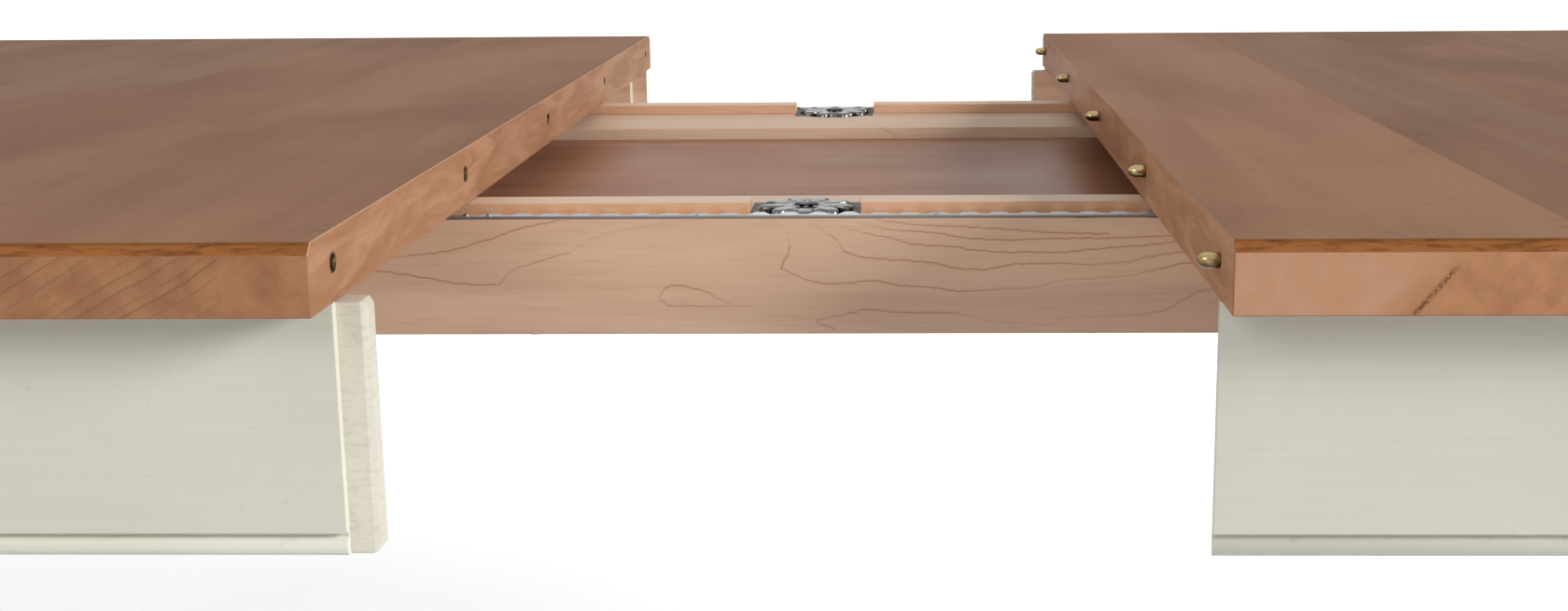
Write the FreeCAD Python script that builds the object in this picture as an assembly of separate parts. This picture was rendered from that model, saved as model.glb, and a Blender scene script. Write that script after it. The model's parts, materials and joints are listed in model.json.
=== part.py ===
import FreeCAD, Part
import math
import os

# Extending dining table with a folded butterfly leaf stored between two geared box slides.
# Millimetres. X runs along the table, Y across it to the rear, Z up, origin on the floor at the centre.
# The two halves stand pulled apart: left is -X, right is +X, front is -Y.

# Whole table
table_height = 762.0
table_width = 1067.0
half_length = 762.0
leaf_gap = 381.0

# Tops
top_thickness = 31.75
top_bevel = 5.0

# Aprons
overhang = 28.0
apron_height = 115.0
apron_thickness = 20.0
bead_height = 9.0
bead_depth = 3.0
quirk_width = 2.0
tongue_reach = 13.5
tongue_seat = 32.0
tongue_chamfer = 2.5
lip_thickness = 5.0

# Legs, corner blocks and bolts
leg_width = 70.0
leg_foot = 44.0
leg_reveal = 3.0
leg_taper_drop = 30.0
glide_radius = 13.0
glide_height = 5.0
block_thickness = 24.0
block_height = 70.0
bolt_radius = 4.0
bolt_bite = 34.0
nut_radius = 8.0
nut_height = 7.0
bolt_tail = 9.0

# Cleats that hold the tops to the aprons
cleat_width = 20.0
cleat_end_gap = 123.5
screw_radius = 2.2
screw_head_radius = 4.6
screw_head_height = 2.6
screw_bite = 16.0
cleat_screw_shares = (-0.35, 0.35)

# Alignment pins and their sockets on the edges that meet
pin_radius = 3.5
pin_reach = 9.6
pin_shank_radius = 2.8
pin_tip_radius = 1.6
pin_bite = 20.0
pin_drop = 14.8
pin_edge_inset = 34.0
pin_count = 5
socket_radius = 4.5
socket_bore = 3.7
socket_depth = 16.0
bush_sides = 12

# Box slides: v is measured inwards from the outer face of each outer rail
slide_half_width = 260.0
slide_end_gap = 9.5
rail_drop = 7.5
rail_width = 40.0
rail_height = 66.0
lane_width = 32.0
lane_height = 49.5
flange_thickness = 10.5
web_thickness = 28.0
web_height = 74.5
rail_ease_width = 26.0
rail_ease_drop = 3.5
keeper_thickness = 6.0
run_clearance = 0.3
seat_clearance = 0.1

# Strips along the outer rails
strip_inset = 14.2
strip_width = 21.8
strip_top_gap = 0.5
strip_notch = 63.0
strip_end_gap = 10.0

# Slide bars and their hanger blocks
bar_meeting_gap = 9.5
bar_end_gap = 24.5
hanger_length = 180.0
hanger_screw_shares = (0.25, 0.75)

# Equalizer gears and racks
gear_teeth = 9
gear_pitch = 16.8
gear_inset = 34.0
gear_addendum = 3.6
gear_dedendum = 4.1
gear_backlash = 0.5
pressure_angle = math.radians(25.0)
rack_thickness = 1.4
rack_spine = 3.6
rack_lip = 2.7
rack_lead = 210.0
rack_seat = 60.0
rack_tooth_count = 26
gear_face_step = 0.2
hub_radius = 9.6
hub_height = 0.8
hub_top_share = 0.8
petal_inner = 8.2
petal_outer = 22.0
petal_half_width = 4.6
petal_height = 1.4
petal_shares = ((0.0, 0.0), (0.35, 0.8), (0.75, 1.0), (1.0, 0.0), (0.75, -1.0), (0.35, -0.8))
crest_share = 0.45
pivot_radius = 4.0
pivot_shank_radius = 3.2
pivot_bite = 24.0
pivot_head_radius = 6.6
pivot_head_height = 2.0
pivot_clearance = 0.1
pocket_margin = 0.8

# Stored leaf, its hinges and the bearers under it
leaf_length = 533.0
leaf_width = 305.0
leaf_thickness = 31.75
leaf_bevel = 5.0
bearer_thickness = 9.0
bearer_width = 60.0
bearer_reach = 185.0
bearer_offset = 170.0
hinge_width = 60.0
hinge_offset = 90.0
hinge_plate_thickness = 2.0
hinge_leaf_height = 22.0
knuckle_radius = 3.4
hinge_pin_radius = 1.8
knuckle_share = 0.34

# One overrun serves every cut
overrun = 1.0

# Places that follow from the sizes above
under_top = table_height - top_thickness
gap_edge = leaf_gap / 2
end_edge = gap_edge + half_length
side_edge = table_width / 2
apron_side = side_edge - overhang
apron_end = end_edge - overhang
leg_side = apron_side + leg_reveal
leg_end = apron_end + leg_reveal
cleat_length = leg_end - leg_width - gap_edge - 2 * cleat_end_gap
apron_bottom = under_top - apron_height
rail_top = under_top - rail_drop
rail_bottom = rail_top - rail_height
lane_top = rail_top - flange_thickness
lane_bottom = lane_top - lane_height
lane_inner = rail_width + lane_width
web_inner = lane_inner + web_thickness
web_bottom = rail_top - web_height
slot_top = rail_top - rack_lip
slot_bottom = slot_top - rack_thickness - 2 * run_clearance
pitch_radius = gear_teeth * gear_pitch / (2 * math.pi)
gear_tip = pitch_radius + gear_addendum
gear_root = pitch_radius - gear_dedendum
gear_bottom = slot_bottom + run_clearance
outer_rack_bottom = rail_top + run_clearance
gear_top = outer_rack_bottom + rack_thickness + gear_face_step
bar_inner_end = gap_edge + bar_meeting_gap
bar_outer_end = apron_end - apron_thickness - bar_end_gap
hanger_inner_end = bar_outer_end - hanger_length
slide_half_length = hanger_inner_end - gap_edge - slide_end_gap
leaf_bottom = web_bottom
leaf_middle = leaf_bottom + leaf_thickness

V = FreeCAD.Vector
UP = V(0, 0, 1)


def box(x, y, z):
    """Block between the pairs of limits x, y and z, given in either order."""
    low = V(min(x), min(y), min(z))
    high = V(max(x), max(y), max(z))
    size = high - low
    return Part.makeBox(size.x, size.y, size.z, low)


def prism(points, push):
    """Closed outline through the points, pushed out along a vector."""
    wire = Part.makePolygon(points + points[:1])
    return Part.Face(wire).extrude(push)


def frustum(base, crest):
    """Solid with flat sides between two like outlines, each a list of corners."""
    faces = [Part.Face(Part.makePolygon(ring + ring[:1])) for ring in (base, crest)]
    count = len(base)
    for index in range(count):
        after = (index + 1) % count
        side = [base[index], base[after], crest[after], crest[index], base[index]]
        faces.append(Part.Face(Part.makePolygon(side)))
    return Part.makeSolid(Part.makeShell(faces))


def rod(radius, start, push):
    """Round bar from start along push."""
    return Part.makeCylinder(radius, push.Length, start, push)


def flat_ring(radius, centre, way, sides):
    """Corners of a regular outline round a line that runs along way."""
    across = V(1, 0, 0) if way.cross(UP).Length == 0 else UP
    other = V(way).normalize().cross(across)
    corners = []
    for index in range(sides):
        angle = 2 * math.pi * index / sides
        corners.append(centre + across * (radius * math.cos(angle)) + other * (radius * math.sin(angle)))
    return corners


def hex_rod(radius, start, push):
    """Six-sided bar from start along push, for shanks that stay hidden and for nuts."""
    return prism(flat_ring(radius, start, push, 6), push)


def bush(radius, start, push):
    """Bar from start along push with few flat sides, as wide across them as a round one."""
    corner_radius = radius / math.cos(math.pi / bush_sides)
    return prism(flat_ring(corner_radius, start, push, bush_sides), push)


def mirror_x(shape):
    return shape.mirror(V(0, 0, 0), V(1, 0, 0))


def mirror_y(shape):
    return shape.mirror(V(0, 0, 0), V(0, 1, 0))


def group(shapes):
    return Part.makeCompound(shapes)


def save(name, shape):
    shape.exportStep("parts/" + name + ".step")


def slide_y(v):
    """Y of a depth v into the front slide."""
    return v - slide_half_width


# Tops


def top_panel():
    """Right half of the top, bevelled along its three outer edges and square where it meets the leaf."""
    panel = box((gap_edge, end_edge), (-side_edge, side_edge), (under_top, table_height))
    edges = []
    for edge in panel.Edges:
        middle = edge.CenterOfMass
        on_top = abs(middle.z - table_height) < overrun
        inner = abs(middle.x - gap_edge) < overrun
        if on_top and not inner:
            edges.append(edge)
    return panel.makeChamfer(top_bevel, edges)


def pin_places():
    first = pin_edge_inset - side_edge
    pitch = (table_width - 2 * pin_edge_inset) / (pin_count - 1)
    return [first + pitch * index for index in range(pin_count)]


def pin_axis_point(y):
    return V(gap_edge, y, table_height - pin_drop)


def alignment_pin(y):
    """Round-nosed brass pin on the right half's inner edge, its shank let into the wood."""
    foot = pin_axis_point(y)
    shoulder = foot - V(pin_reach - pin_radius, 0, 0)
    stem = rod(pin_radius, shoulder, foot - shoulder)
    nose = Part.makeCone(pin_radius, pin_tip_radius, pin_radius, shoulder, V(-1, 0, 0))
    return stem.fuse(nose).fuse(hex_rod(pin_shank_radius, foot, V(pin_bite, 0, 0))).removeSplitter()


def pin_hole(y):
    return hex_rod(pin_shank_radius + seat_clearance, pin_axis_point(y), V(pin_bite + seat_clearance, 0, 0))


def socket_hole(y):
    return bush(socket_radius + seat_clearance, pin_axis_point(y), V(socket_depth + seat_clearance, 0, 0))


def socket(y):
    """Brass sleeve, modelled on the right and mirrored to the left half's inner edge."""
    depth = V(socket_depth, 0, 0)
    return bush(socket_radius, pin_axis_point(y), depth).cut(bush(socket_bore, pin_axis_point(y), depth))


def screw(place, length):
    """Wood screw driven upwards: head under the place, shank up from it."""
    head = hex_rod(screw_head_radius, place - UP * screw_head_height, UP * screw_head_height)
    return head.fuse(hex_rod(screw_radius, place, UP * length)).removeSplitter()


def screw_hole(place, length):
    return hex_rod(screw_radius + seat_clearance, place, UP * (length + seat_clearance))


# Aprons, legs and what joins them


def apron_section(place):
    """Beaded section: place turns a depth from the inner face and a height into a point."""
    bead_back = apron_thickness - bead_depth
    quirk_top = bead_height + quirk_width
    low = place(bead_back, 0)
    crown = place(apron_thickness, bead_height / 2)
    high = place(bead_back, bead_height)
    corners = [high, place(bead_back, quirk_top), place(apron_thickness, quirk_top),
               place(apron_thickness, apron_height), place(0, apron_height), place(0, 0), low]
    edges = [Part.Arc(low, crown, high).toShape()]
    for start, end in zip(corners, corners[1:]):
        edges.append(Part.makeLine(start, end))
    return Part.Face(Part.Wire(edges))


def front_apron():
    """Right front apron, from the gap to the leg."""
    inner = apron_side - apron_thickness

    def place(depth, height):
        return V(gap_edge, -inner - depth, apron_bottom + height)

    return apron_section(place).extrude(V(leg_end - leg_width - gap_edge, 0, 0))


def end_apron():
    inner = apron_end - apron_thickness
    reach = leg_side - leg_width

    def place(depth, height):
        return V(inner + depth, -reach, apron_bottom + height)

    return apron_section(place).extrude(V(0, 2 * reach, 0))


def tongue_limits():
    """Y limits of the right front tongue and of the rebate behind the lip."""
    return (-apron_side + lip_thickness, -apron_side + apron_thickness)


def tongue_board():
    """Board let into the back of an apron's end, standing out into the gap."""
    height = (apron_bottom, under_top - run_clearance)
    board = box((gap_edge - tongue_reach, gap_edge + tongue_seat), tongue_limits(), height)
    nose = []
    for edge in board.Edges:
        at_nose = abs(edge.CenterOfMass.x - gap_edge + tongue_reach) < overrun
        if at_nose:
            nose.append(edge)
    return board.makeChamfer(tongue_chamfer, nose)


def rebate(length):
    """Cut behind the lip at the gap end of a front apron."""
    front, back = tongue_limits()
    height = (apron_bottom - overrun, under_top + overrun)
    return box((gap_edge - overrun, gap_edge + length), (front, back + overrun), height)


def leg_square(width, z):
    """Corners of a square section that keeps to the leg's outer faces."""
    x = leg_end - width
    y = -leg_side + width
    return [V(x, -leg_side, z), V(leg_end, -leg_side, z), V(leg_end, y, z), V(x, y, z)]


def leg():
    """Square leg, tapered on its two inner faces below the aprons."""
    shoulder = apron_bottom - leg_taper_drop
    block = prism(leg_square(leg_width, shoulder), UP * (under_top - shoulder))
    taper = frustum(leg_square(leg_foot, glide_height), leg_square(leg_width, shoulder))
    return block.fuse(taper).removeSplitter()


def glide():
    return rod(glide_radius, V(leg_end - leg_foot / 2, -leg_side + leg_foot / 2, 0), UP * glide_height)


def corner_point(along, across, z):
    """Point measured inwards from the inside faces of the end apron and the front apron."""
    return V(apron_end - apron_thickness - along, -apron_side + apron_thickness + across, z)


def corner_reach():
    """Distance from each inside apron face to where the block's outer face meets the other apron."""
    return 2 * (leg_width - leg_reveal - apron_thickness)


def corner_block():
    """Diagonal block across the inside corner, against the leg."""
    outer = corner_reach()
    inner = outer + block_thickness * math.sqrt(2)
    bottom = under_top - block_height
    plan = [(outer, 0), (inner, 0), (0, inner), (0, outer)]
    return prism([corner_point(along, across, bottom) for along, across in plan], UP * block_height)


def bolt_line():
    """Start on the block's inner face and the way from there into the leg."""
    middle = corner_reach() / 2 + block_thickness / math.sqrt(2)
    start = corner_point(middle, middle, under_top - block_height / 2)
    return start, V(1, -1, 0).normalize()


def leg_bolt():
    """Hanger bolt through the corner block into the leg, with its nut on the block."""
    start, into = bolt_line()
    tail = nut_height + bolt_tail
    shank = hex_rod(bolt_radius, start - into * tail, into * (tail + block_thickness + bolt_bite))
    nut = hex_rod(nut_radius, start, into * -nut_height)
    return shank.fuse(nut).removeSplitter()


def bolt_hole():
    start, into = bolt_line()
    return hex_rod(bolt_radius + seat_clearance, start - into * overrun,
                   into * (overrun + block_thickness + bolt_bite + seat_clearance))


def cleat_centre():
    return (gap_edge + leg_end - leg_width) / 2


def cleat():
    """Square batten in the angle between the front apron and the top."""
    back = -apron_side + apron_thickness
    middle = cleat_centre()
    return box((middle - cleat_length / 2, middle + cleat_length / 2), (back, back + cleat_width),
               (under_top - cleat_width, under_top))


def cleat_screw_places():
    y = -apron_side + apron_thickness + cleat_width / 2
    z = under_top - cleat_width
    return [V(cleat_centre() + cleat_length * share, y, z) for share in cleat_screw_shares]


# Slide bars, hanger blocks and racks


def slide_bar():
    """Right front bar that runs in the lane of the box slide."""
    return box((bar_inner_end, bar_outer_end),
               (slide_y(rail_width + run_clearance), slide_y(lane_inner - run_clearance)),
               (lane_bottom + run_clearance, lane_top - run_clearance))


def hanger_block():
    """Block that hangs the bar's outer end from the top."""
    return box((hanger_inner_end, bar_outer_end), (slide_y(0), slide_y(lane_inner - run_clearance)),
               (lane_top - run_clearance, under_top))


def hanger_screw_places():
    y = slide_y(rail_width + lane_width / 2)
    z = lane_bottom + run_clearance
    return [V(hanger_inner_end + hanger_length * share, y, z) for share in hanger_screw_shares]


def hanger_screw_length():
    return under_top - lane_bottom - run_clearance + screw_bite


def tooth_half_width(depth):
    """Half the thickness of a rack tooth at a depth beyond its pitch line."""
    return (gear_pitch - gear_backlash) / 4 - depth * math.tan(pressure_angle)


def rack(tooth_phase):
    """Flat rack of the right half: toothed over the travel, plain to its seat in the hanger block."""
    tip_half = tooth_half_width(gear_addendum)
    root_half = tooth_half_width(-gear_dedendum)
    first = tooth_phase + gear_pitch - math.floor(rack_lead / gear_pitch) * gear_pitch
    back = -gear_dedendum - rack_spine
    tail = hanger_inner_end + rack_seat
    outline = [V(-rack_lead, -gear_dedendum, 0)]
    for index in range(rack_tooth_count):
        x = first + index * gear_pitch
        outline += [V(x - root_half, -gear_dedendum, 0), V(x - tip_half, gear_addendum, 0)]
        outline += [V(x + tip_half, gear_addendum, 0), V(x + root_half, -gear_dedendum, 0)]
    outline += [V(tail, -gear_dedendum, 0), V(tail, back, 0), V(-rack_lead, back, 0)]
    return prism(outline, UP * rack_thickness)


def outer_rack():
    """Rack of the right front slide, on the ledge outside the strips."""
    plate = rack(gear_pitch / 2)
    plate.translate(V(0, slide_y(gear_inset - pitch_radius), outer_rack_bottom))
    return plate


def inner_rack():
    """Rack of the left front slide, in the slot of the inner rail."""
    plate = mirror_x(mirror_y(rack(0)))
    plate.translate(V(0, slide_y(gear_inset + pitch_radius), gear_bottom))
    return plate


def outer_rack_slot():
    far = gear_inset - pitch_radius - gear_dedendum
    near = far - rack_spine
    return box((hanger_inner_end - overrun, hanger_inner_end + rack_seat), (slide_y(near), slide_y(far)),
               (outer_rack_bottom, outer_rack_bottom + rack_thickness))


def inner_rack_slot():
    near = gear_inset + pitch_radius + gear_dedendum
    return box((-hanger_inner_end + overrun, -hanger_inner_end - rack_seat),
               (slide_y(near), slide_y(near + rack_spine)), (gear_bottom, gear_bottom + rack_thickness))


# Equalizer gear


def at_angle(radius, angle):
    return V(radius * math.cos(angle), radius * math.sin(angle), 0)


def involute_points(turn):
    """Start, middle and end of an involute flank, from the base circle to the tip, turned by an angle."""
    base = pitch_radius * math.cos(pressure_angle)
    points = []
    for radius in (base, (base + gear_tip) / 2, gear_tip):
        roll = math.sqrt(max((radius / base) ** 2 - 1, 0))
        points.append(at_angle(radius, turn + roll - math.atan(roll)))
    return points


def flip_angle(point, centre_angle):
    """Mirror a point in the line through the axis at an angle."""
    angle = 2 * centre_angle - math.atan2(point.y, point.x)
    return V(point.Length * math.cos(angle), point.Length * math.sin(angle), 0)


def gear_outline():
    """Teeth with arcs for their involute flanks, one of them pointing along -Y towards the outer rack."""
    half_tooth = (gear_pitch - gear_backlash) / 4 / pitch_radius + math.tan(pressure_angle) - pressure_angle
    step = 2 * math.pi / gear_teeth
    edges = []
    for index in range(gear_teeth):
        centre = index * step - math.pi / 2
        rising = involute_points(centre - half_tooth)
        falling = [flip_angle(point, centre) for point in reversed(rising)]
        foot = at_angle(gear_root, centre - half_tooth)
        heel = at_angle(gear_root, centre + half_tooth)
        next_foot = at_angle(gear_root, centre + step - half_tooth)
        edges.append(Part.makeLine(foot, rising[0]))
        edges.append(Part.Arc(*rising).toShape())
        edges.append(Part.makeLine(rising[-1], falling[0]))
        edges.append(Part.Arc(*falling).toShape())
        edges.append(Part.makeLine(falling[-1], heel))
        edges.append(Part.makeLine(heel, next_foot))
    return Part.Wire(edges)


def petal(angle):
    """Leaf-shaped rib of the gear's rosette, narrowing upwards to a flat crest."""
    length = petal_outer - petal_inner
    base = []
    crest = []
    for along_share, across_share in petal_shares:
        side = at_angle(petal_half_width * across_share, angle + math.pi / 2)
        base.append(at_angle(petal_inner + length * along_share, angle) + side)
        crest_along = crest_share * along_share + (1 - crest_share) / 2
        ridge = at_angle(petal_inner + length * crest_along, angle) + UP * petal_height
        crest.append(ridge + side * crest_share)
    return frustum(base, crest)


def gear_hub():
    """Raised hub with one side for each tooth."""
    step = 2 * math.pi / gear_teeth
    low = [at_angle(hub_radius, index * step) for index in range(gear_teeth)]
    high = [point * hub_top_share + UP * hub_height for point in low]
    return frustum(low, high)


def equalizer_gear():
    """Front gear: toothed plate, hub and a rosette of ribs, bored for its pivot."""
    thickness = gear_top - gear_bottom
    body = Part.Face(gear_outline()).extrude(UP * thickness)
    raised = [gear_hub()]
    for index in range(gear_teeth):
        raised.append(petal(2 * math.pi * index / gear_teeth - math.pi / 2))
    for rib in raised:
        rib.translate(UP * thickness)
        body = body.fuse(rib)
    bore = rod(pivot_radius + pivot_clearance, UP * -overrun, UP * (thickness + petal_height + overrun))
    body = body.cut(bore).removeSplitter()
    body.translate(V(0, slide_y(gear_inset), gear_bottom))
    return body


def gear_pivot():
    """Shoulder screw that carries the gear in the outer rail."""
    foot = V(0, slide_y(gear_inset), slot_bottom)
    crown = V(0, slide_y(gear_inset), gear_top + hub_height + run_clearance)
    shank = hex_rod(pivot_shank_radius, foot, UP * -pivot_bite)
    shoulder = rod(pivot_radius, foot, crown - foot)
    rim = pivot_head_radius - pivot_head_height / 2
    head = Part.makeCone(pivot_head_radius, rim, pivot_head_height, crown)
    return shank.fuse(shoulder).fuse(head).removeSplitter()


def gear_pocket():
    place = V(0, slide_y(gear_inset), slot_bottom)
    return rod(gear_tip + pocket_margin, place, UP * (rail_top - slot_bottom + overrun))


# Rails of the box slide


def outer_rail():
    """Tall outer side of the front slide, with the gear's pocket and the pivot's hole."""
    rail = box((-slide_half_length, slide_half_length), (slide_y(0), slide_y(rail_width)),
               (rail_bottom, rail_top))
    mouth = V(0, slide_y(gear_inset), slot_bottom + overrun)
    hole = hex_rod(pivot_shank_radius + seat_clearance, mouth, UP * -(pivot_bite + overrun + seat_clearance))
    return rail.cut(gear_pocket()).cut(hole)


def inner_rail():
    """Inner side of the front slide: a web with a flange over the lane, slotted for the inner rack.

    Its top is eased towards the leaf.
    """
    start = -slide_half_length
    section = [(rail_width, rail_top), (web_inner - rail_ease_width, rail_top),
               (web_inner, rail_top - rail_ease_drop), (web_inner, web_bottom),
               (lane_inner, web_bottom), (lane_inner, lane_top), (rail_width, lane_top)]
    rail = prism([V(start, slide_y(v), z) for v, z in section], V(2 * slide_half_length, 0, 0))
    slot_inner = gear_inset + pitch_radius + gear_dedendum + rack_spine + run_clearance
    slot = box((-slide_half_length - overrun, slide_half_length + overrun),
               (slide_y(rail_width - overrun), slide_y(slot_inner)), (slot_bottom, slot_top))
    return rail.cut(slot).cut(gear_pocket())


def keeper():
    """Board that closes the lane from below."""
    return box((-slide_half_length, slide_half_length), (slide_y(rail_width), slide_y(lane_inner)),
               (lane_bottom - keeper_thickness, lane_bottom))


def strip():
    """Right front strip on the outer rail, ending at the gear's notch."""
    length = (strip_notch / 2, slide_half_length - strip_end_gap)
    width = (slide_y(strip_inset), slide_y(strip_inset + strip_width))
    return box(length, width, (rail_top, under_top - strip_top_gap))


# Stored leaf


def leaf_panel():
    """Lower panel of the folded leaf, bevelled where it will meet the table's long edge."""
    panel = box((-leaf_length / 2, leaf_length / 2), (-leaf_width / 2, leaf_width / 2),
                (leaf_bottom, leaf_middle))
    edges = []
    for edge in panel.Edges:
        middle = edge.CenterOfMass
        if abs(middle.z - leaf_middle) < overrun and abs(middle.x + leaf_length / 2) < overrun:
            edges.append(edge)
    panel = panel.makeChamfer(leaf_bevel, edges)
    for side in (-1, 1):
        panel = panel.cut(hinge_mortise(side * hinge_offset))
    return panel


def leaf_fold(shape):
    """Lower piece turned over onto the upper panel."""
    return shape.mirror(V(0, 0, leaf_middle), UP)


def hinge_barrel(radius, y, start_share, end_share):
    """Part of a hinge's barrel on the fold line at the leaf's end, between shares of the hinge's width."""
    start = V(leaf_length / 2, y - hinge_width / 2 + hinge_width * start_share, leaf_middle)
    return hex_rod(radius, start, V(0, hinge_width * (end_share - start_share), 0))


def hinge_mortise(y):
    """Room for one hinge leaf and its knuckles in the lower panel's end."""
    end = leaf_length / 2
    half = hinge_width / 2
    plate = box((end - hinge_plate_thickness, end + overrun), (y - half, y + half),
                (leaf_middle - hinge_leaf_height, leaf_middle + overrun))
    return plate.fuse(hinge_barrel(knuckle_radius + seat_clearance, y, 0, 1))


def hinge_leaf_plate(y, knuckles):
    """Hinge leaf let into the lower panel's end, with the knuckles at the given shares of its width."""
    end = leaf_length / 2
    half = hinge_width / 2
    plate = box((end - hinge_plate_thickness, end), (y - half, y + half),
                (leaf_middle - hinge_leaf_height, leaf_middle))
    plate = plate.cut(hinge_barrel(knuckle_radius + seat_clearance, y, 0, 1))
    for low_share, high_share in knuckles:
        knuckle = hinge_barrel(knuckle_radius, y, low_share, high_share)
        low = y - half + hinge_width * low_share
        high = y - half + hinge_width * high_share
        neck = box((end - hinge_plate_thickness, end), (low, high),
                   (leaf_middle - 2 * knuckle_radius, leaf_middle))
        plate = plate.fuse(knuckle).fuse(neck)
    return plate.cut(hinge_barrel(hinge_pin_radius + seat_clearance, y, 0, 1)).removeSplitter()


def hinge_pin(y):
    return hinge_barrel(hinge_pin_radius, y, 0, 1)


def bearer(x):
    """Slat under both inner rails that carries the leaf."""
    return box((x - bearer_width / 2, x + bearer_width / 2), (-bearer_reach, bearer_reach),
               (web_bottom - bearer_thickness, web_bottom))


def bearer_screw_places(x):
    y = slide_half_width - lane_inner - web_thickness / 2
    return [V(x, side * y, web_bottom - bearer_thickness) for side in (-1, 1)]


def cut_all(shape, cutters):
    for cutter in cutters:
        shape = shape.cut(cutter)
    return shape


def both_ends(shape):
    """A front piece and its mirror at the rear."""
    return [shape, mirror_y(shape)]


def build_half(side, flip):
    """Pieces that the two halves share, modelled on the right and flipped to their side."""
    bolts = both_ends(bolt_hole())
    cleat_holes = [screw_hole(place, cleat_width + screw_bite) for place in cleat_screw_places()]
    hanger_holes = [screw_hole(place, hanger_screw_length()) for place in hanger_screw_places()]
    edge_hole = pin_hole if side == "right" else socket_hole
    top = cut_all(top_panel(), [edge_hole(y) for y in pin_places()])
    for holes in (cleat_holes, hanger_holes):
        top = cut_all(top, holes + [mirror_y(hole) for hole in holes])
    screws = [screw(place, cleat_width + screw_bite) for place in cleat_screw_places()]
    screws += [screw(place, hanger_screw_length()) for place in hanger_screw_places()]
    bar = cut_all(slide_bar(), hanger_holes)
    front_leg = leg().cut(bolts[0])
    block = corner_block().cut(bolts[0])
    pieces = {
        "top": top,
        "end_apron": end_apron(),
        "front_leg": front_leg,
        "rear_leg": mirror_y(front_leg),
        "corner_blocks": group(both_ends(block)),
        "leg_bolts": group(both_ends(leg_bolt())),
        "glides": group(both_ends(glide())),
        "cleats": group(both_ends(cut_all(cleat(), cleat_holes))),
        "top_screws": group(screws + [mirror_y(item) for item in screws]),
        "front_slide_bar": bar,
        "rear_slide_bar": mirror_y(bar),
    }
    for name, shape in pieces.items():
        save(side + "_" + name, flip(shape))
    return hanger_holes


def keep(shape):
    return shape


def build_right():
    """Right half: pins, outer racks, the rear tongue and the front rebate."""
    hanger_holes = build_half("right", keep)
    block = cut_all(hanger_block(), hanger_holes + [outer_rack_slot()])
    save("right_front_hanger_block", block)
    save("right_rear_hanger_block", mirror_y(block))
    save("right_front_outer_rack", outer_rack())
    save("right_rear_outer_rack", mirror_y(outer_rack()))
    save("right_front_apron", front_apron().cut(rebate(tongue_reach + run_clearance)))
    save("right_rear_apron", mirror_y(front_apron().cut(rebate(tongue_seat))))
    save("right_rear_tongue", mirror_y(tongue_board()))
    save("right_alignment_pins", group([alignment_pin(y) for y in pin_places()]))


def build_left():
    """Left half: sockets, inner racks, the front tongue and the rear rebate."""
    hanger_holes = build_half("left", mirror_x)
    block = mirror_x(cut_all(hanger_block(), hanger_holes)).cut(inner_rack_slot())
    save("left_front_hanger_block", block)
    save("left_rear_hanger_block", mirror_y(block))
    save("left_front_inner_rack", inner_rack())
    save("left_rear_inner_rack", mirror_y(inner_rack()))
    save("left_front_apron", mirror_x(front_apron().cut(rebate(tongue_seat))))
    save("left_rear_apron", mirror_x(mirror_y(front_apron().cut(rebate(tongue_reach + run_clearance)))))
    save("left_front_tongue", mirror_x(tongue_board()))
    save("left_pin_sockets", mirror_x(group([socket(y) for y in pin_places()])))


def build_slides():
    """Fixed box slides with their strips, and the gears that turn in them."""
    bearer_holes = []
    for x in (-bearer_offset, bearer_offset):
        for place in bearer_screw_places(x):
            bearer_holes.append(screw_hole(place, bearer_thickness + screw_bite))
    pieces = {
        "outer_rail": outer_rail(),
        "inner_rail": cut_all(inner_rail(), bearer_holes),
        "keeper": keeper(),
        "right_strip": strip(),
        "left_strip": mirror_x(strip()),
        "gear_pivot": gear_pivot(),
        "equalizer_gear": equalizer_gear(),
    }
    for name, shape in pieces.items():
        save("front_" + name, shape)
        save("rear_" + name, mirror_y(shape))
    bearers = [bearer(-bearer_offset), bearer(bearer_offset)]
    save("leaf_bearers", group([cut_all(item, bearer_holes) for item in bearers]))
    screws = []
    for x in (-bearer_offset, bearer_offset):
        screws += [screw(place, bearer_thickness + screw_bite) for place in bearer_screw_places(x)]
    save("bearer_screws", group(screws))


def build_leaf():
    """Folded leaf in two panels, hinged at one end."""
    outer_knuckles = [(0, knuckle_share), (1 - knuckle_share, 1)]
    middle_gap_share = knuckle_share + seat_clearance / hinge_width
    middle_knuckle = [(middle_gap_share, 1 - middle_gap_share)]
    save("leaf_lower_panel", leaf_panel())
    save("leaf_upper_panel", leaf_fold(leaf_panel()))
    plates = []
    pins = []
    for y in (-hinge_offset, hinge_offset):
        plates.append(hinge_leaf_plate(y, outer_knuckles))
        plates.append(leaf_fold(hinge_leaf_plate(y, middle_knuckle)))
        pins.append(hinge_pin(y))
    save("leaf_hinge_plates", group(plates))
    save("leaf_hinge_pins", group(pins))


os.makedirs("parts", exist_ok=True)
build_right()
build_left()
build_slides()
build_leaf()
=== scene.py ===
import json
import math

import bmesh
import bpy
from bpy.props import FloatProperty, FloatVectorProperty, PointerProperty
from mathutils import Matrix, Vector

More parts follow.
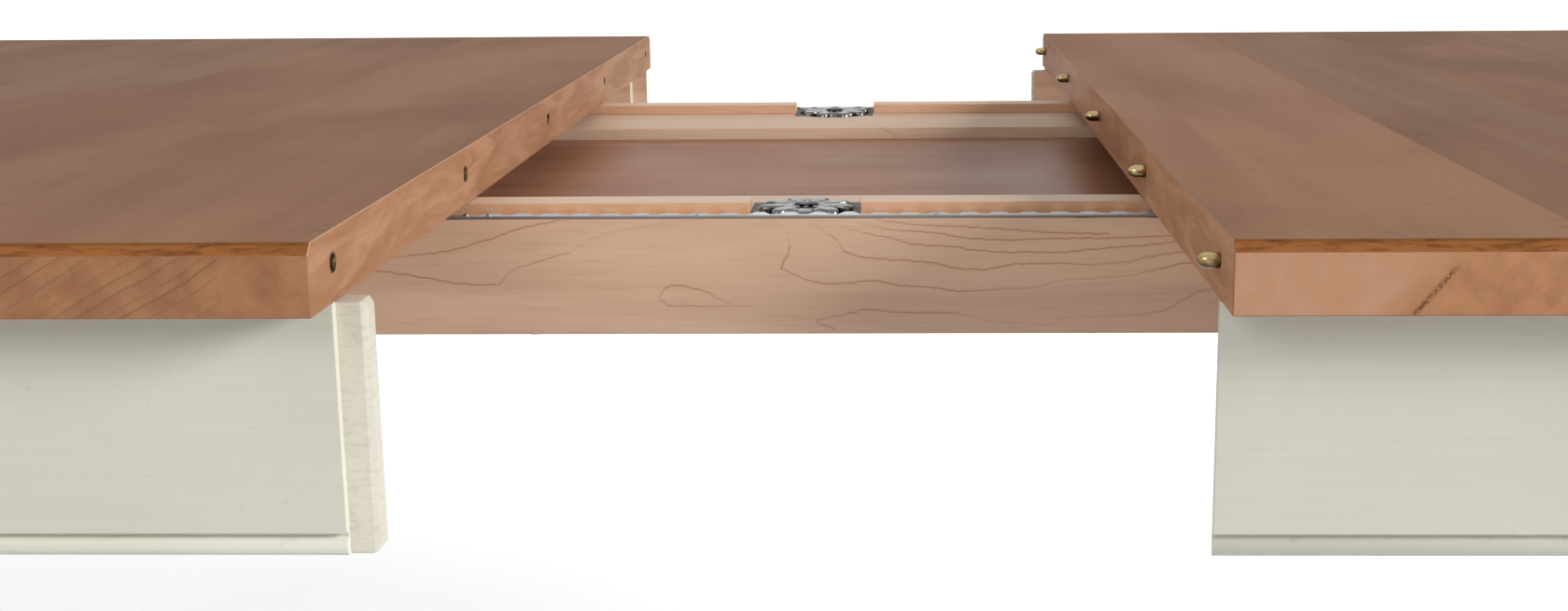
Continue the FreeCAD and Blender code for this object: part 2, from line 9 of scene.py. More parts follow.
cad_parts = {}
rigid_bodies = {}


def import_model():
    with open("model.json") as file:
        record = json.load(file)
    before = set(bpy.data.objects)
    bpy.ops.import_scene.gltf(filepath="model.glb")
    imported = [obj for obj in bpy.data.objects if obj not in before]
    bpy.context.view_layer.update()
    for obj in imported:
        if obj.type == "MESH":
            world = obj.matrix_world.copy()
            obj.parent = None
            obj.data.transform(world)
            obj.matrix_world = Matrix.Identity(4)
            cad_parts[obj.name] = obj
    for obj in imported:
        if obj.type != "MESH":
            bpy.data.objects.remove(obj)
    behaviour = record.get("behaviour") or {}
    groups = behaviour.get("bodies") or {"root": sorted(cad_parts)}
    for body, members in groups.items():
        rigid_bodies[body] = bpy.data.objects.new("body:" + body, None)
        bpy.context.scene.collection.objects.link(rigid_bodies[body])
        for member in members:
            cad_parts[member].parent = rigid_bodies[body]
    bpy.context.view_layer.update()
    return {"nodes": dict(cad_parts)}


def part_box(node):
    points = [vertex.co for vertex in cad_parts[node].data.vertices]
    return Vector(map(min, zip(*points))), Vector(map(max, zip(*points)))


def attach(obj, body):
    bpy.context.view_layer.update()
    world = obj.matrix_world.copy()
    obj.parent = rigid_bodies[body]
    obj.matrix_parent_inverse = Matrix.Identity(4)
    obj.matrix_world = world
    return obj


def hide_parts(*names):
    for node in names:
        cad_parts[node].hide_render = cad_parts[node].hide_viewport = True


bl_info = {
    "name": "Butterfly Leaf Table",
    "version": (1, 0, 0),
    "blender": (4, 5, 0),
    "location": "View3D > Sidebar > Leaf Table",
    "description": "Finishes an extending table with its stored leaf, geared slides and a plain studio",
    "category": "Object",
}

for leftover in list(bpy.data.objects):
    bpy.data.objects.remove(leftover)
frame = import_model()

MM = 0.001
SIDES = ("front", "rear")
HALVES = ("left", "right")


# Settings a user would change


def tint(name, description, default):
    """A colour setting."""
    return FloatVectorProperty(
        name=name, description=description, default=default, subtype="COLOR", min=0, max=1)


def lamp_power(name, description, default):
    """The setting of a lamp's power."""
    return FloatProperty(
        name=name, description=description, default=default, subtype="POWER", unit="POWER", min=0)


def tilt(name, description, degrees):
    """The setting of an angle of the camera."""
    return FloatProperty(name=name, description=description, default=math.radians(degrees), subtype="ANGLE")


class LeafTableFinishes(bpy.types.PropertyGroup):
    """Colours and small edge sizes of the table."""

    stain_light: tint("Stain, light", "Pale figure of the stained tops", (0.325, 0.172, 0.098))
    stain_dark: tint("Stain, dark", "Dark figure of the stained tops", (0.27, 0.134, 0.073))
    stain_blotch: tint("Stain, blotched", "Patches where the tops took more stain", (0.225, 0.118, 0.078))
    end_light: tint(
        "End grain, light", "Pale rings on the front and rear edges of the tops", (0.36, 0.18, 0.095))
    end_dark: tint(
        "End grain, dark", "Dark rings on the front and rear edges of the tops", (0.27, 0.122, 0.06))
    side_light: tint("Long edge, light", "Pale smears on the edges that meet", (0.46, 0.25, 0.145))
    side_dark: tint("Long edge, dark", "Dark smears on the edges that meet", (0.34, 0.165, 0.088))
    bevel_light: tint("Bevel, light", "Stain on the bevel round the tops", (0.31, 0.118, 0.036))
    bevel_dark: tint("Bevel, dark", "Places on the bevel that soaked up most stain", (0.14, 0.048, 0.017))
    maple_light: tint("Maple, light", "Pale figure of the slides' clear maple", (0.66, 0.45, 0.32))
    maple_dark: tint("Maple, dark", "Dark figure of the slides' clear maple", (0.55, 0.357, 0.245))
    maple_blush: tint("Maple blush", "Warm patches of the slides' maple", (0.6, 0.365, 0.212))
    maple_pale: tint("Maple sapwood", "Pale sapwood of the strips and inner rails", (0.75, 0.54, 0.385))
    maple_warm: tint("Maple heartwood", "Warm heartwood of the strips' upright faces", (0.69, 0.375, 0.205))
    maple_line: tint("Maple lines", "Thin growth lines on the slides' maple", (0.3, 0.105, 0.05))
    leaf_light: tint("Leaf, light", "Pale figure of the stored leaf", (0.41, 0.19, 0.108))
    leaf_dark: tint("Leaf, dark", "Dark figure of the stored leaf", (0.28, 0.118, 0.066))
    paint: tint("Paint", "Off-white paint of the aprons and legs", (0.63, 0.62, 0.54))
    tongue_paint: tint("Tongue paint", "Creamier paint of the aligning tongues", (0.7, 0.66, 0.57))
    steel: tint("Steel", "Zinc-plated racks, bolts and screws", (0.42, 0.425, 0.43))
    plating: tint("Gear plating", "Bright plating of the equalizer gears", (0.165, 0.162, 0.156))
    brass: tint("Brass", "Alignment pins, sockets and hinges", (0.45, 0.335, 0.165))
    edge_ease: FloatProperty(
        name="Eased edge", description="Rounding of the wooden edges", subtype="DISTANCE", unit="LENGTH",
        default=0.8 * MM, min=0)


class LeafTableStage(bpy.types.PropertyGroup):
    """Floor, light and camera."""

    floor_size: FloatProperty(
        name="Floor", description="Side of the square floor", subtype="DISTANCE", unit="LENGTH",
        default=60.0, min=1)
    sky: FloatProperty(
        name="Sky", description="Strength of the even white light all round", default=0.28, min=0)
    key_power: lamp_power("Key lamp", "Power of the large lamp on the right", 850.0)
    fill_power: lamp_power("Fill lamp", "Power of the small lamp on the left", 16.0)
    rear_power: lamp_power("Rear lamp", "Power of the low lamp behind the table", 190.0)
    camera_place: FloatVectorProperty(
        name="Camera", description="Place of the camera", subtype="TRANSLATION", unit="LENGTH",
        default=(0.05607, -1.28478, 0.9066))
    camera_pitch: tilt("Pitch", "Downward tilt of the camera", 11.389)
    camera_yaw: tilt("Yaw", "Turn of the camera to the right", -1.557)
    camera_roll: tilt("Roll", "Lean of the camera", -0.491)
    camera_lens: FloatProperty(
        name="Lens", description="Focal length on a 36 mm sensor", subtype="DISTANCE_CAMERA",
        unit="CAMERA", default=42.93)
    camera_shift: FloatVectorProperty(
        name="Shift", description="Shift of the lens, as shares of the image width", size=2,
        default=(-0.045, -0.03))


# Node helpers


def clear_material(name):
    """A material with only its surface shader and output, and the node tree that holds them."""
    material = bpy.data.materials.new(name)
    material.use_nodes = True
    tree = material.node_tree
    tree.nodes.clear()
    shader = tree.nodes.new("ShaderNodeBsdfPrincipled")
    output = tree.nodes.new("ShaderNodeOutputMaterial")
    tree.links.new(shader.outputs["BSDF"], output.inputs["Surface"])
    return material, tree, shader


def feed(tree, socket, value):
    """Link a socket to a socket, or set it to a plain value."""
    if isinstance(value, bpy.types.NodeSocket):
        tree.links.new(value, socket)
    else:
        socket.default_value = value


def add(tree, kind, inputs=None, **settings):
    """A new node with its settings and inputs filled in."""
    made = tree.nodes.new(kind)
    for key, value in settings.items():
        setattr(made, key, value)
    for key, value in (inputs or {}).items():
        feed(tree, made.inputs[key], value)
    return made


def calc(tree, operation, first, second=0.0, third=0.0):
    """Math on two or three values."""
    made = add(tree, "ShaderNodeMath", {0: first, 1: second, 2: third}, operation=operation)
    return made.outputs[0]


def span(tree, value, low, high, out_low=0.0, out_high=1.0):
    """A value brought from one range to another, smoothly and clamped."""
    made = add(tree, "ShaderNodeMapRange",
               {"Value": value, "From Min": low, "From Max": high, "To Min": out_low, "To Max": out_high},
               interpolation_type="SMOOTHSTEP")
    return made.outputs[0]


def blend_colour(tree, factor, first, second):
    """A blend from the first colour to the second."""
    made = add(tree, "ShaderNodeMix", data_type="RGBA")
    feed(tree, made.inputs[0], factor)
    for index, colour in ((6, first), (7, second)):
        if not isinstance(colour, bpy.types.NodeSocket):
            colour = (*colour[:3], 1.0)
        feed(tree, made.inputs[index], colour)
    return made.outputs[2]


def noise(tree, vector, scale, detail, roughness=0.5, distortion=0.0):
    """Soft noise between nought and one."""
    made = add(tree, "ShaderNodeTexNoise",
               {"Vector": vector, "Scale": scale, "Detail": detail, "Roughness": roughness,
                "Distortion": distortion})
    return made.outputs["Fac"]


def stretched(tree, vector, scale, offset=(0.0, 0.0, 0.0)):
    """Coordinates scaled in each direction and moved."""
    made = add(tree, "ShaderNodeMapping", {"Vector": vector, "Scale": scale, "Location": offset})
    return made.outputs[0]


def bump(tree, shader, height, strength, distance):
    """Let fine relief bend the surface's shading."""
    made = add(tree, "ShaderNodeBump", {"Height": height, "Strength": strength, "Distance": distance})
    tree.links.new(made.outputs[0], shader.inputs["Normal"])


def grain(tree, vector, stretch, detail, roughness=0.5, distortion=0.0):
    """Noise whose density along each direction is given per metre, as wood grain needs."""
    return noise(tree, stretched(tree, vector, stretch), 1.0, detail, roughness, distortion)


def toned(colour, part):
    """A plain colour made darker or lighter."""
    return tuple(channel * part for channel in colour)


def cast(colour, parts):
    """A plain colour with each channel multiplied by its own part."""
    return tuple(channel * part for channel, part in zip(colour, parts))


def place_of(tree):
    """Place of a surface point in the table's own frame."""
    return add(tree, "ShaderNodeTexCoord").outputs["Object"]


def place_and_facing(tree):
    """Place of a surface point in the table's own frame, its parts and the parts of its facing."""
    coords = add(tree, "ShaderNodeTexCoord")
    place = add(tree, "ShaderNodeSeparateXYZ", {0: coords.outputs["Object"]})
    facing = add(tree, "ShaderNodeSeparateXYZ", {0: coords.outputs["Normal"]})
    return coords.outputs["Object"], place.outputs, facing.outputs


# Wood finishes, after the colours of their pores, lines, wear and a painted highlight

FACE_CURL = (0.11, 0.056, 0.034)
FACE_PORES = (0.10, 0.05, 0.03)
GLUE_LINE = (0.09, 0.045, 0.028)
RING_LINE = (0.17, 0.068, 0.03)
END_PORES = (0.17, 0.07, 0.032)
PALE_END = (0.53, 0.305, 0.195)
STREAK = (0.1, 0.042, 0.018)
SIDE_FIGURE = (0.27, 0.12, 0.06)
SIDE_PORES = (0.19, 0.08, 0.04)
# Painted highlight on the arris of the edges at the gap
ARRIS_HIGHLIGHT = (0.52, 0.33, 0.215)
MAPLE_PORES = (0.36, 0.19, 0.105)
MAPLE_END = (0.46, 0.25, 0.125)
LEAF_CLOUD = (0.34, 0.165, 0.115)
LEAF_PORES = (0.12, 0.046, 0.024)
GREEN_CAST = (0.95, 0.955, 0.93)
WARM_CAST = (1.0, 0.965, 0.92)
BRUSH_SHADE = (0.48, 0.46, 0.38)
PAINT_SPECK = (0.40, 0.35, 0.26)
RAISED_GRAIN = (0.48, 0.43, 0.33)
WORN_PAINT = (0.45, 0.35, 0.24)
BARE_DARK = (0.50, 0.29, 0.19)
BARE_LIGHT = (0.62, 0.40, 0.28)
HIDDEN_DARK = (0.40, 0.235, 0.13)
HIDDEN_LIGHT = (0.58, 0.39, 0.245)
HIDDEN_PORES = (0.28, 0.15, 0.08)

# How strongly each coat mirrors
STAIN_IOR = 1.14
MAPLE_IOR = 1.4
LEAF_IOR = 1.1
PAINT_IOR = 1.4


def plank_number(tree, x, joints):
    """Counts the glue joints that lie before x, which numbers the planks of a top."""
    number = calc(tree, "GREATER_THAN", x, joints[0])
    for joint in joints[1:]:
        number = calc(tree, "ADD", number, calc(tree, "GREATER_THAN", x, joint))
    return number


def plank_value(tree, plank, values):
    """Picks one value for each plank."""
    total = calc(tree, "MULTIPLY", calc(tree, "COMPARE", plank, 0.0, 0.1), values[0])
    for index, value in enumerate(values[1:], 1):
        total = calc(tree, "MULTIPLY_ADD", calc(tree, "COMPARE", plank, float(index), 0.1), value, total)
    return total


def joint_line(tree, x, joints, width):
    """One near a glue joint and nought elsewhere."""
    line = calc(tree, "COMPARE", x, joints[0], width)
    for joint in joints[1:]:
        line = calc(tree, "MAXIMUM", line, calc(tree, "COMPARE", x, joint, width))
    return line


def eased_edge(tree, facing):
    """One where a surface leans between the table's directions, as its rounded edges do."""
    most = calc(tree, "ABSOLUTE", facing[0])
    for turn in facing[1:]:
        most = calc(tree, "MAXIMUM", most, calc(tree, "ABSOLUTE", turn))
    return span(tree, most, 0.96, 0.84)


def tinted(tree, colour, tone):
    """A colour made lighter or darker."""
    return add(tree, "ShaderNodeHueSaturation", {"Color": colour, "Value": tone}).outputs[0]


def vector(tree, x, y, z=0.0):
    """A vector from its parts."""
    return add(tree, "ShaderNodeCombineXYZ", {0: x, 1: y, 2: z}).outputs[0]


def scratch_line(tree, x, z, start, end, width):
    """Soft mask round a straight line between two points (x, z)."""
    run = Vector(end) - Vector(start)
    along = run.normalized()
    from_x = calc(tree, "SUBTRACT", x, start[0])
    from_z = calc(tree, "SUBTRACT", z, start[1])
    far = calc(tree, "MULTIPLY_ADD", from_z, along.y, calc(tree, "MULTIPLY", from_x, along.x))
    off = calc(tree, "MULTIPLY_ADD", from_z, along.x, calc(tree, "MULTIPLY", from_x, -along.y))
    near = span(tree, calc(tree, "ABSOLUTE", off), width, 0.0)
    begun = span(tree, far, 0.0, run.length * 0.15)
    unended = span(tree, far, run.length, run.length * 0.8)
    return calc(tree, "MULTIPLY", near, calc(tree, "MULTIPLY", begun, unended))


PLANK_SHIFT = (3.7, 1.9)
RING_STEP = 6.0 * MM
RING_BEND = 7.0 * MM
RING_DRIFT = 9.0 * MM
REAR_SHADE_REACH = 450.0 * MM
STREAK_WIDTH = 2.0 * MM
PALE_FROM = 2.0 * MM
PALE_TO = -22.0 * MM
# Reach of the painted highlight beyond the gap's edge
ARRIS_HIGHLIGHT_WIDTH = 2.0 * MM
TOP_DARK_FROM = 1.9 * MM
TOP_DARK_TO = 0.6 * MM
GLUE_WIDTH = 0.2 * MM


def own_figure(tree, place, plank, tones):
    """Place moved by plank, so that each plank has a figure of its own and matched planks share one."""
    matched = [index for index in range(1, len(tones)) if tones[index] == tones[index - 1]]
    board = calc(tree, "MINIMUM", plank, matched[0] - 1.0) if matched else plank
    shift = vector(tree, *(calc(tree, "MULTIPLY", board, step) for step in PLANK_SHIFT))
    return add(tree, "ShaderNodeVectorMath", {0: place, 1: shift}, operation="ADD").outputs[0]


def end_grain(tree, finish, moved, x, z, plank, ends, mottle, pores):
    """Thin growth rings, at their own slope in each plank, over a soft mottle."""
    slopes, strengths, tones = zip(*ends)
    bend = grain(tree, moved, (26.0, 3.0, 26.0), 2.0)
    level = calc(tree, "SUBTRACT", z, calc(tree, "MULTIPLY", x, plank_value(tree, plank, slopes)))
    level = calc(tree, "MULTIPLY_ADD", bend, RING_BEND, level)
    drift = noise(tree, vector(tree, calc(tree, "DIVIDE", level, RING_DRIFT), plank), 1.0, 1.0)
    rings = calc(tree, "MULTIPLY_ADD", drift, 1.6, calc(tree, "DIVIDE", level, RING_STEP))
    saw = calc(tree, "FRACT", rings)
    year = add(tree, "ShaderNodeTexWhiteNoise", {"W": calc(tree, "FLOOR", rings)}, noise_dimensions="1D")
    ring = calc(tree, "MULTIPLY_ADD", saw, 0.25, span(tree, saw, 0.2, 0.0))
    ring = calc(tree, "MULTIPLY", ring, plank_value(tree, plank, strengths))
    ring = calc(tree, "MULTIPLY", ring, calc(tree, "MULTIPLY_ADD", year.outputs["Value"], 0.75, 0.45))
    end = blend_colour(tree, span(tree, mottle, 0.2, 0.74), finish.end_dark, finish.end_light)
    end = blend_colour(tree, ring, end, RING_LINE)
    end = blend_colour(tree, span(tree, pores, 0.55, 0.8, 0.0, 0.25), end, END_PORES)
    return tinted(tree, end, plank_value(tree, plank, tones))


def streaked(tree, end, place, x, z, streak, mottle):
    """End grain with a ragged dark streak, and paler wood on the gap's side of it."""
    (low_x, low_z), (high_x, high_z) = streak
    lean = calc(tree, "MULTIPLY", calc(tree, "SUBTRACT", z, low_z), (high_x - low_x) / (high_z - low_z))
    beyond = calc(tree, "SUBTRACT", calc(tree, "SUBTRACT", x, low_x), lean)
    pale = calc(tree, "MULTIPLY", span(tree, beyond, PALE_FROM, PALE_TO, 0.0, 0.8),
                span(tree, mottle, 0.72, 0.32, 0.4, 1.0))
    end = blend_colour(tree, pale, end, PALE_END)
    ragged = calc(tree, "MULTIPLY", scratch_line(tree, x, z, *streak, STREAK_WIDTH),
                  span(tree, noise(tree, place, 900.0, 2.0), 0.3, 0.62))
    return blend_colour(tree, calc(tree, "MULTIPLY", ragged, 0.9), end, STREAK)


def sawn_side(tree, finish, moved, y, tones, figure, pores):
    """Sawn long edges, which take the stain unevenly."""
    smear = grain(tree, moved, (20.0, 9.0, 55.0), 4.0, 0.6, 1.0)
    side = blend_colour(tree, span(tree, smear, 0.35, 0.68), finish.side_dark, finish.side_light)
    side = blend_colour(tree, span(tree, figure, 0.5, 0.75, 0.0, 0.4), side, SIDE_FIGURE)
    side = blend_colour(tree, span(tree, pores, 0.5, 0.8, 0.0, 0.25), side, SIDE_PORES)
    # Painted light: a tone per half for how light falls on the edge, darkening as painted shade towards the
    # rear
    return tinted(tree, side, span(tree, y, 0.0, REAR_SHADE_REACH, *tones))


def stained_bevel(tree, finish, place, x, z, turn_x, gap_edge):
    """Bevel round a top, darker along its upper edge; at the gap a painted highlight lightens the arris."""
    soak = grain(tree, place, (34.0, 34.0, 260.0), 5.0, 0.7, 0.4)
    bevel = blend_colour(tree, span(tree, soak, 0.32, 0.54), finish.bevel_dark, finish.bevel_light)
    # Darker along the bevel's upper edge
    top_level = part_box("right_top")[1].z
    darker_at_top = span(tree, z, top_level - TOP_DARK_FROM, top_level - TOP_DARK_TO, 1.0, 0.7)
    bevel = tinted(tree, bevel, darker_at_top)
    # Painted highlight: a pale line on the arris of the edges at the gap
    near_gap = calc(tree, "LESS_THAN", calc(tree, "ABSOLUTE", x), gap_edge + ARRIS_HIGHLIGHT_WIDTH)
    arris_highlight = calc(tree, "MULTIPLY", near_gap, span(tree, calc(tree, "ABSOLUTE", turn_x), 0.3, 0.5))
    return blend_colour(tree, arris_highlight, bevel, ARRIS_HIGHLIGHT)


def stained_top(name, finish, joints, tones, ends, side_light_tones, gap_edge, streak):
    """Stained maple in planks that run from front to rear, with end grain on the front and rear edges.

    ends holds, for each plank, the slope of its growth rings, how plainly they show and its tone.
    Planks with the same tone as the one before are matched, so their joint hardly shows on the face.
    side_light_tones are painted light on the sawn long edges: their tones at the table's middle and at its
    rear, set per half for how light falls on each, and darker towards the rear as painted shade.
    streak holds the lower and upper end of a dark streak on the end grain, or nothing.
    """
    material, tree, shader = clear_material(name)
    place, (x, y, z), (turn_x, turn_y, turn_z) = place_and_facing(tree)
    plank = plank_number(tree, x, joints)
    moved = own_figure(tree, place, plank, tones)
    # Long grain on the face: soft figure, blotched stain, faint curl across the grain and fine pores
    figure = grain(tree, moved, (16.0, 1.3, 16.0), 4.0, 0.5, 0.8)
    blotch = grain(tree, moved, (5.0, 2.6, 5.0), 3.0, 0.55, 0.5)
    curl = grain(tree, moved, (34.0, 150.0, 34.0), 2.0, 0.5, 0.3)
    pores = grain(tree, moved, (420.0, 34.0, 420.0), 3.0, 0.6)
    face = blend_colour(tree, span(tree, figure, 0.3, 0.72), finish.stain_dark, finish.stain_light)
    face = blend_colour(tree, span(tree, blotch, 0.42, 0.68, 0.0, 0.65), face, finish.stain_blotch)
    face = blend_colour(tree, span(tree, curl, 0.6, 0.8, 0.0, 0.3), face, FACE_CURL)
    face = blend_colour(tree, span(tree, pores, 0.5, 0.8, 0.0, 0.22), face, FACE_PORES)
    face = tinted(tree, face, plank_value(tree, plank, tones))
    # The front and rear edges, the long edges and the bevel have looks of their own
    mottle = noise(tree, moved, 75.0, 3.0, 0.55)
    end = end_grain(tree, finish, moved, x, z, plank, ends, mottle, pores)
    if streak:
        end = streaked(tree, end, place, x, z, streak, mottle)
    side = sawn_side(tree, finish, moved, y, side_light_tones, figure, pores)
    bevel = stained_bevel(tree, finish, place, x, z, turn_x, gap_edge)
    colour = blend_colour(tree, span(tree, calc(tree, "ABSOLUTE", turn_y), 0.8, 0.95), face, end)
    colour = blend_colour(tree, span(tree, calc(tree, "ABSOLUTE", turn_x), 0.8, 0.95), colour, side)
    leaning = calc(tree, "MULTIPLY", span(tree, turn_z, 0.3, 0.55), span(tree, turn_z, 0.98, 0.85))
    colour = blend_colour(tree, leaning, colour, bevel)
    glue = calc(tree, "MULTIPLY", joint_line(tree, x, joints, GLUE_WIDTH), 0.12)
    colour = blend_colour(tree, glue, colour, GLUE_LINE)
    feed(tree, shader.inputs["Base Color"], colour)
    feed(tree, shader.inputs["Roughness"], span(tree, blotch, 0.3, 0.7, 0.56, 0.66))
    shader.inputs["IOR"].default_value = STAIN_IOR
    bump(tree, shader, calc(tree, "ADD", calc(tree, "MULTIPLY", pores, 0.7), curl), 0.1, 0.15 * MM)
    return material


# Growth lines of the front rail's outer face, as (x, height above the rail's lower edge) in millimetres
RAIL_LINES = (
    ((-330, 40), (-242, 44), (-211, 47), (-198, 49), (-165, 59), (-149, 63.4), (-131, 66), (-120, 67)),
    ((-330, 40), (-240, 36.6), (-212, 32.7), (-198, 30), (-181, 28.9), (-171, 29.4), (-168.5, 34.2),
     (-162, 38.5), (-151, 41.6), (-138, 45.8), (-131, 47.9), (-126, 51), (-110, 58), (-94, 61),
     (-75, 64.2), (-51, 66.2)),
    ((-45, 67), (-32, 66.7), (-20.5, 65.6), (-12.8, 62.4), (-9.2, 56), (-7.7, 51.3)),
    ((-13.1, 37.5), (-2.7, 33.2), (5, 30), (14, 29.1), (38, 30.4), (51, 28.2), (72, 26.6), (90, 24.4),
     (111, 25.6), (129, 26.6), (141, 30.1), (155, 31.3), (181, 33.2), (197, 36.8), (217, 40.5),
     (320, 45)),
    ((-81.8, 21.1), (-80.9, 23.8), (-79.3, 25.6), (-73, 28.2), (-65.6, 27.1), (-56, 24.8), (-48.6, 20.5),
     (-40, 16.7)),
    ((-81.8, 21.1), (-79.5, 17.9), (-75.8, 16.5), (-61, 16.4), (-52, 16.2), (-40, 16.4), (-29.6, 16.2)),
    ((5.5, 63.4), (14.3, 57), (18.5, 54.3), (21, 48), (26, 45.8), (41, 43.1), (60, 42), (77, 39.8),
     (90, 37.1), (101, 37.1), (117, 39.7), (135, 40.2), (158, 39.6), (177, 40.6), (194, 44), (209, 46.3),
     (320, 52)),
    ((20, 61.7), (36, 57.5), (51, 54.2), (62, 51), (77, 50.4), (98, 47.7), (114, 46.6), (141, 46.5),
     (165, 48.6), (193, 50.6), (205, 51.9), (320, 58)),
    ((30, 63.8), (50, 59.5), (72, 57.9), (93, 54.6), (117, 53.5), (141, 54.5), (165, 54.4), (197, 55.3),
     (320, 62)),
    ((41, 65.4), (62, 62.7), (93, 61), (117, 59.3), (141, 57.6), (170, 57)),
    ((6.5, 7.5), (14.4, 9.6), (27.5, 12.3), (35, 13.9), (51, 12.5), (67, 12.2), (82, 12.1), (93, 9.8),
     (107, 7), (123, 5.7), (135, 5.1), (147, 9.3), (165, 9.6), (183, 10.3), (198, 12.4), (213, 19.8),
     (227, 25.1), (320, 31)),
    ((6.5, 7.5), (9.1, 5.4), (14.3, 3.8), (17.5, 2.4)),
)
# The one line that runs upwards is given the other way round, as (height, x)
RAIL_HOOK = ((37.5, -13.1), (39.6, -12.5), (45.4, -9.8), (51.3, -7.7))
LINE_REACH = (-400.0, 400.0)
LINE_RISE = (-10.0, 80.0)
LINE_WIDTH = 0.75
HOOK_WIDTH = 0.9
# Height, reach along X and depth of the painted shadow on the front rail's lower edge
RAIL_SHADOW_HEIGHT = 45.0 * MM
RAIL_SHADOW_FROM = -40.0 * MM
RAIL_SHADOW_TO = 60.0 * MM
RAIL_SHADOW_DEPTH = -0.2
# Share of colour left on the tongues' noses, as painted shade
NOSE_PAINTED_SHADE = 0.8


def share(value, limits):
    """Where a value lies between two limits, from nought to one."""
    return (value - limits[0]) / (limits[1] - limits[0])


def span_linear(tree, value, limits):
    """A value brought evenly from its limits to nought and one."""
    made = add(tree, "ShaderNodeMapRange", {"Value": value, "From Min": limits[0], "From Max": limits[1]})
    return made.outputs[0]


def growth_line(tree, along, across, points, along_limits, across_limits, width):
    """Mask of one thin growth line, drawn as a curve of one direction over the other, in millimetres."""
    curve = add(tree, "ShaderNodeFloatCurve", {"Value": span_linear(tree, along, along_limits)})
    line = curve.mapping.curves[0]
    for index, (run, rise) in enumerate(points):
        spot = (share(run, along_limits), share(rise, across_limits))
        if index < 2:
            line.points[index].location = spot
        else:
            line.points.new(*spot)
    for point in line.points:
        point.handle_type = "AUTO_CLAMPED"
    curve.mapping.use_clip = False
    curve.mapping.update()
    reach = across_limits[1] - across_limits[0]
    level = calc(tree, "MULTIPLY_ADD", curve.outputs[0], reach, across_limits[0])
    off = calc(tree, "ABSOLUTE", calc(tree, "SUBTRACT", across, level))
    runs = [run for run, _ in points]
    inside = calc(tree, "MULTIPLY", calc(tree, "GREATER_THAN", along, min(runs)),
                  calc(tree, "LESS_THAN", along, max(runs)))
    return calc(tree, "MULTIPLY", span(tree, off, width, 0.0), inside)


def drawn_lines(tree, x, z, bottom):
    """All the growth lines of the front rail's outer face, with a slight waver."""
    run = calc(tree, "MULTIPLY", x, 1.0 / MM)
    rise = calc(tree, "MULTIPLY", calc(tree, "SUBTRACT", z, bottom), 1.0 / MM)
    sway = vector(tree, calc(tree, "MULTIPLY", x, 170.0), 0.0, calc(tree, "MULTIPLY", z, 60.0))
    waver = calc(tree, "MULTIPLY_ADD", noise(tree, sway, 1.0, 4.0, 0.65), 3.0, -1.5)
    high = calc(tree, "ADD", rise, waver)
    aside = calc(tree, "ADD", run, waver)
    mask = growth_line(tree, rise, aside, RAIL_HOOK, LINE_RISE, LINE_REACH, HOOK_WIDTH)
    for points in RAIL_LINES:
        line = growth_line(tree, run, high, points, LINE_REACH, LINE_RISE, LINE_WIDTH)
        mask = calc(tree, "MAXIMUM", mask, line)
    return mask


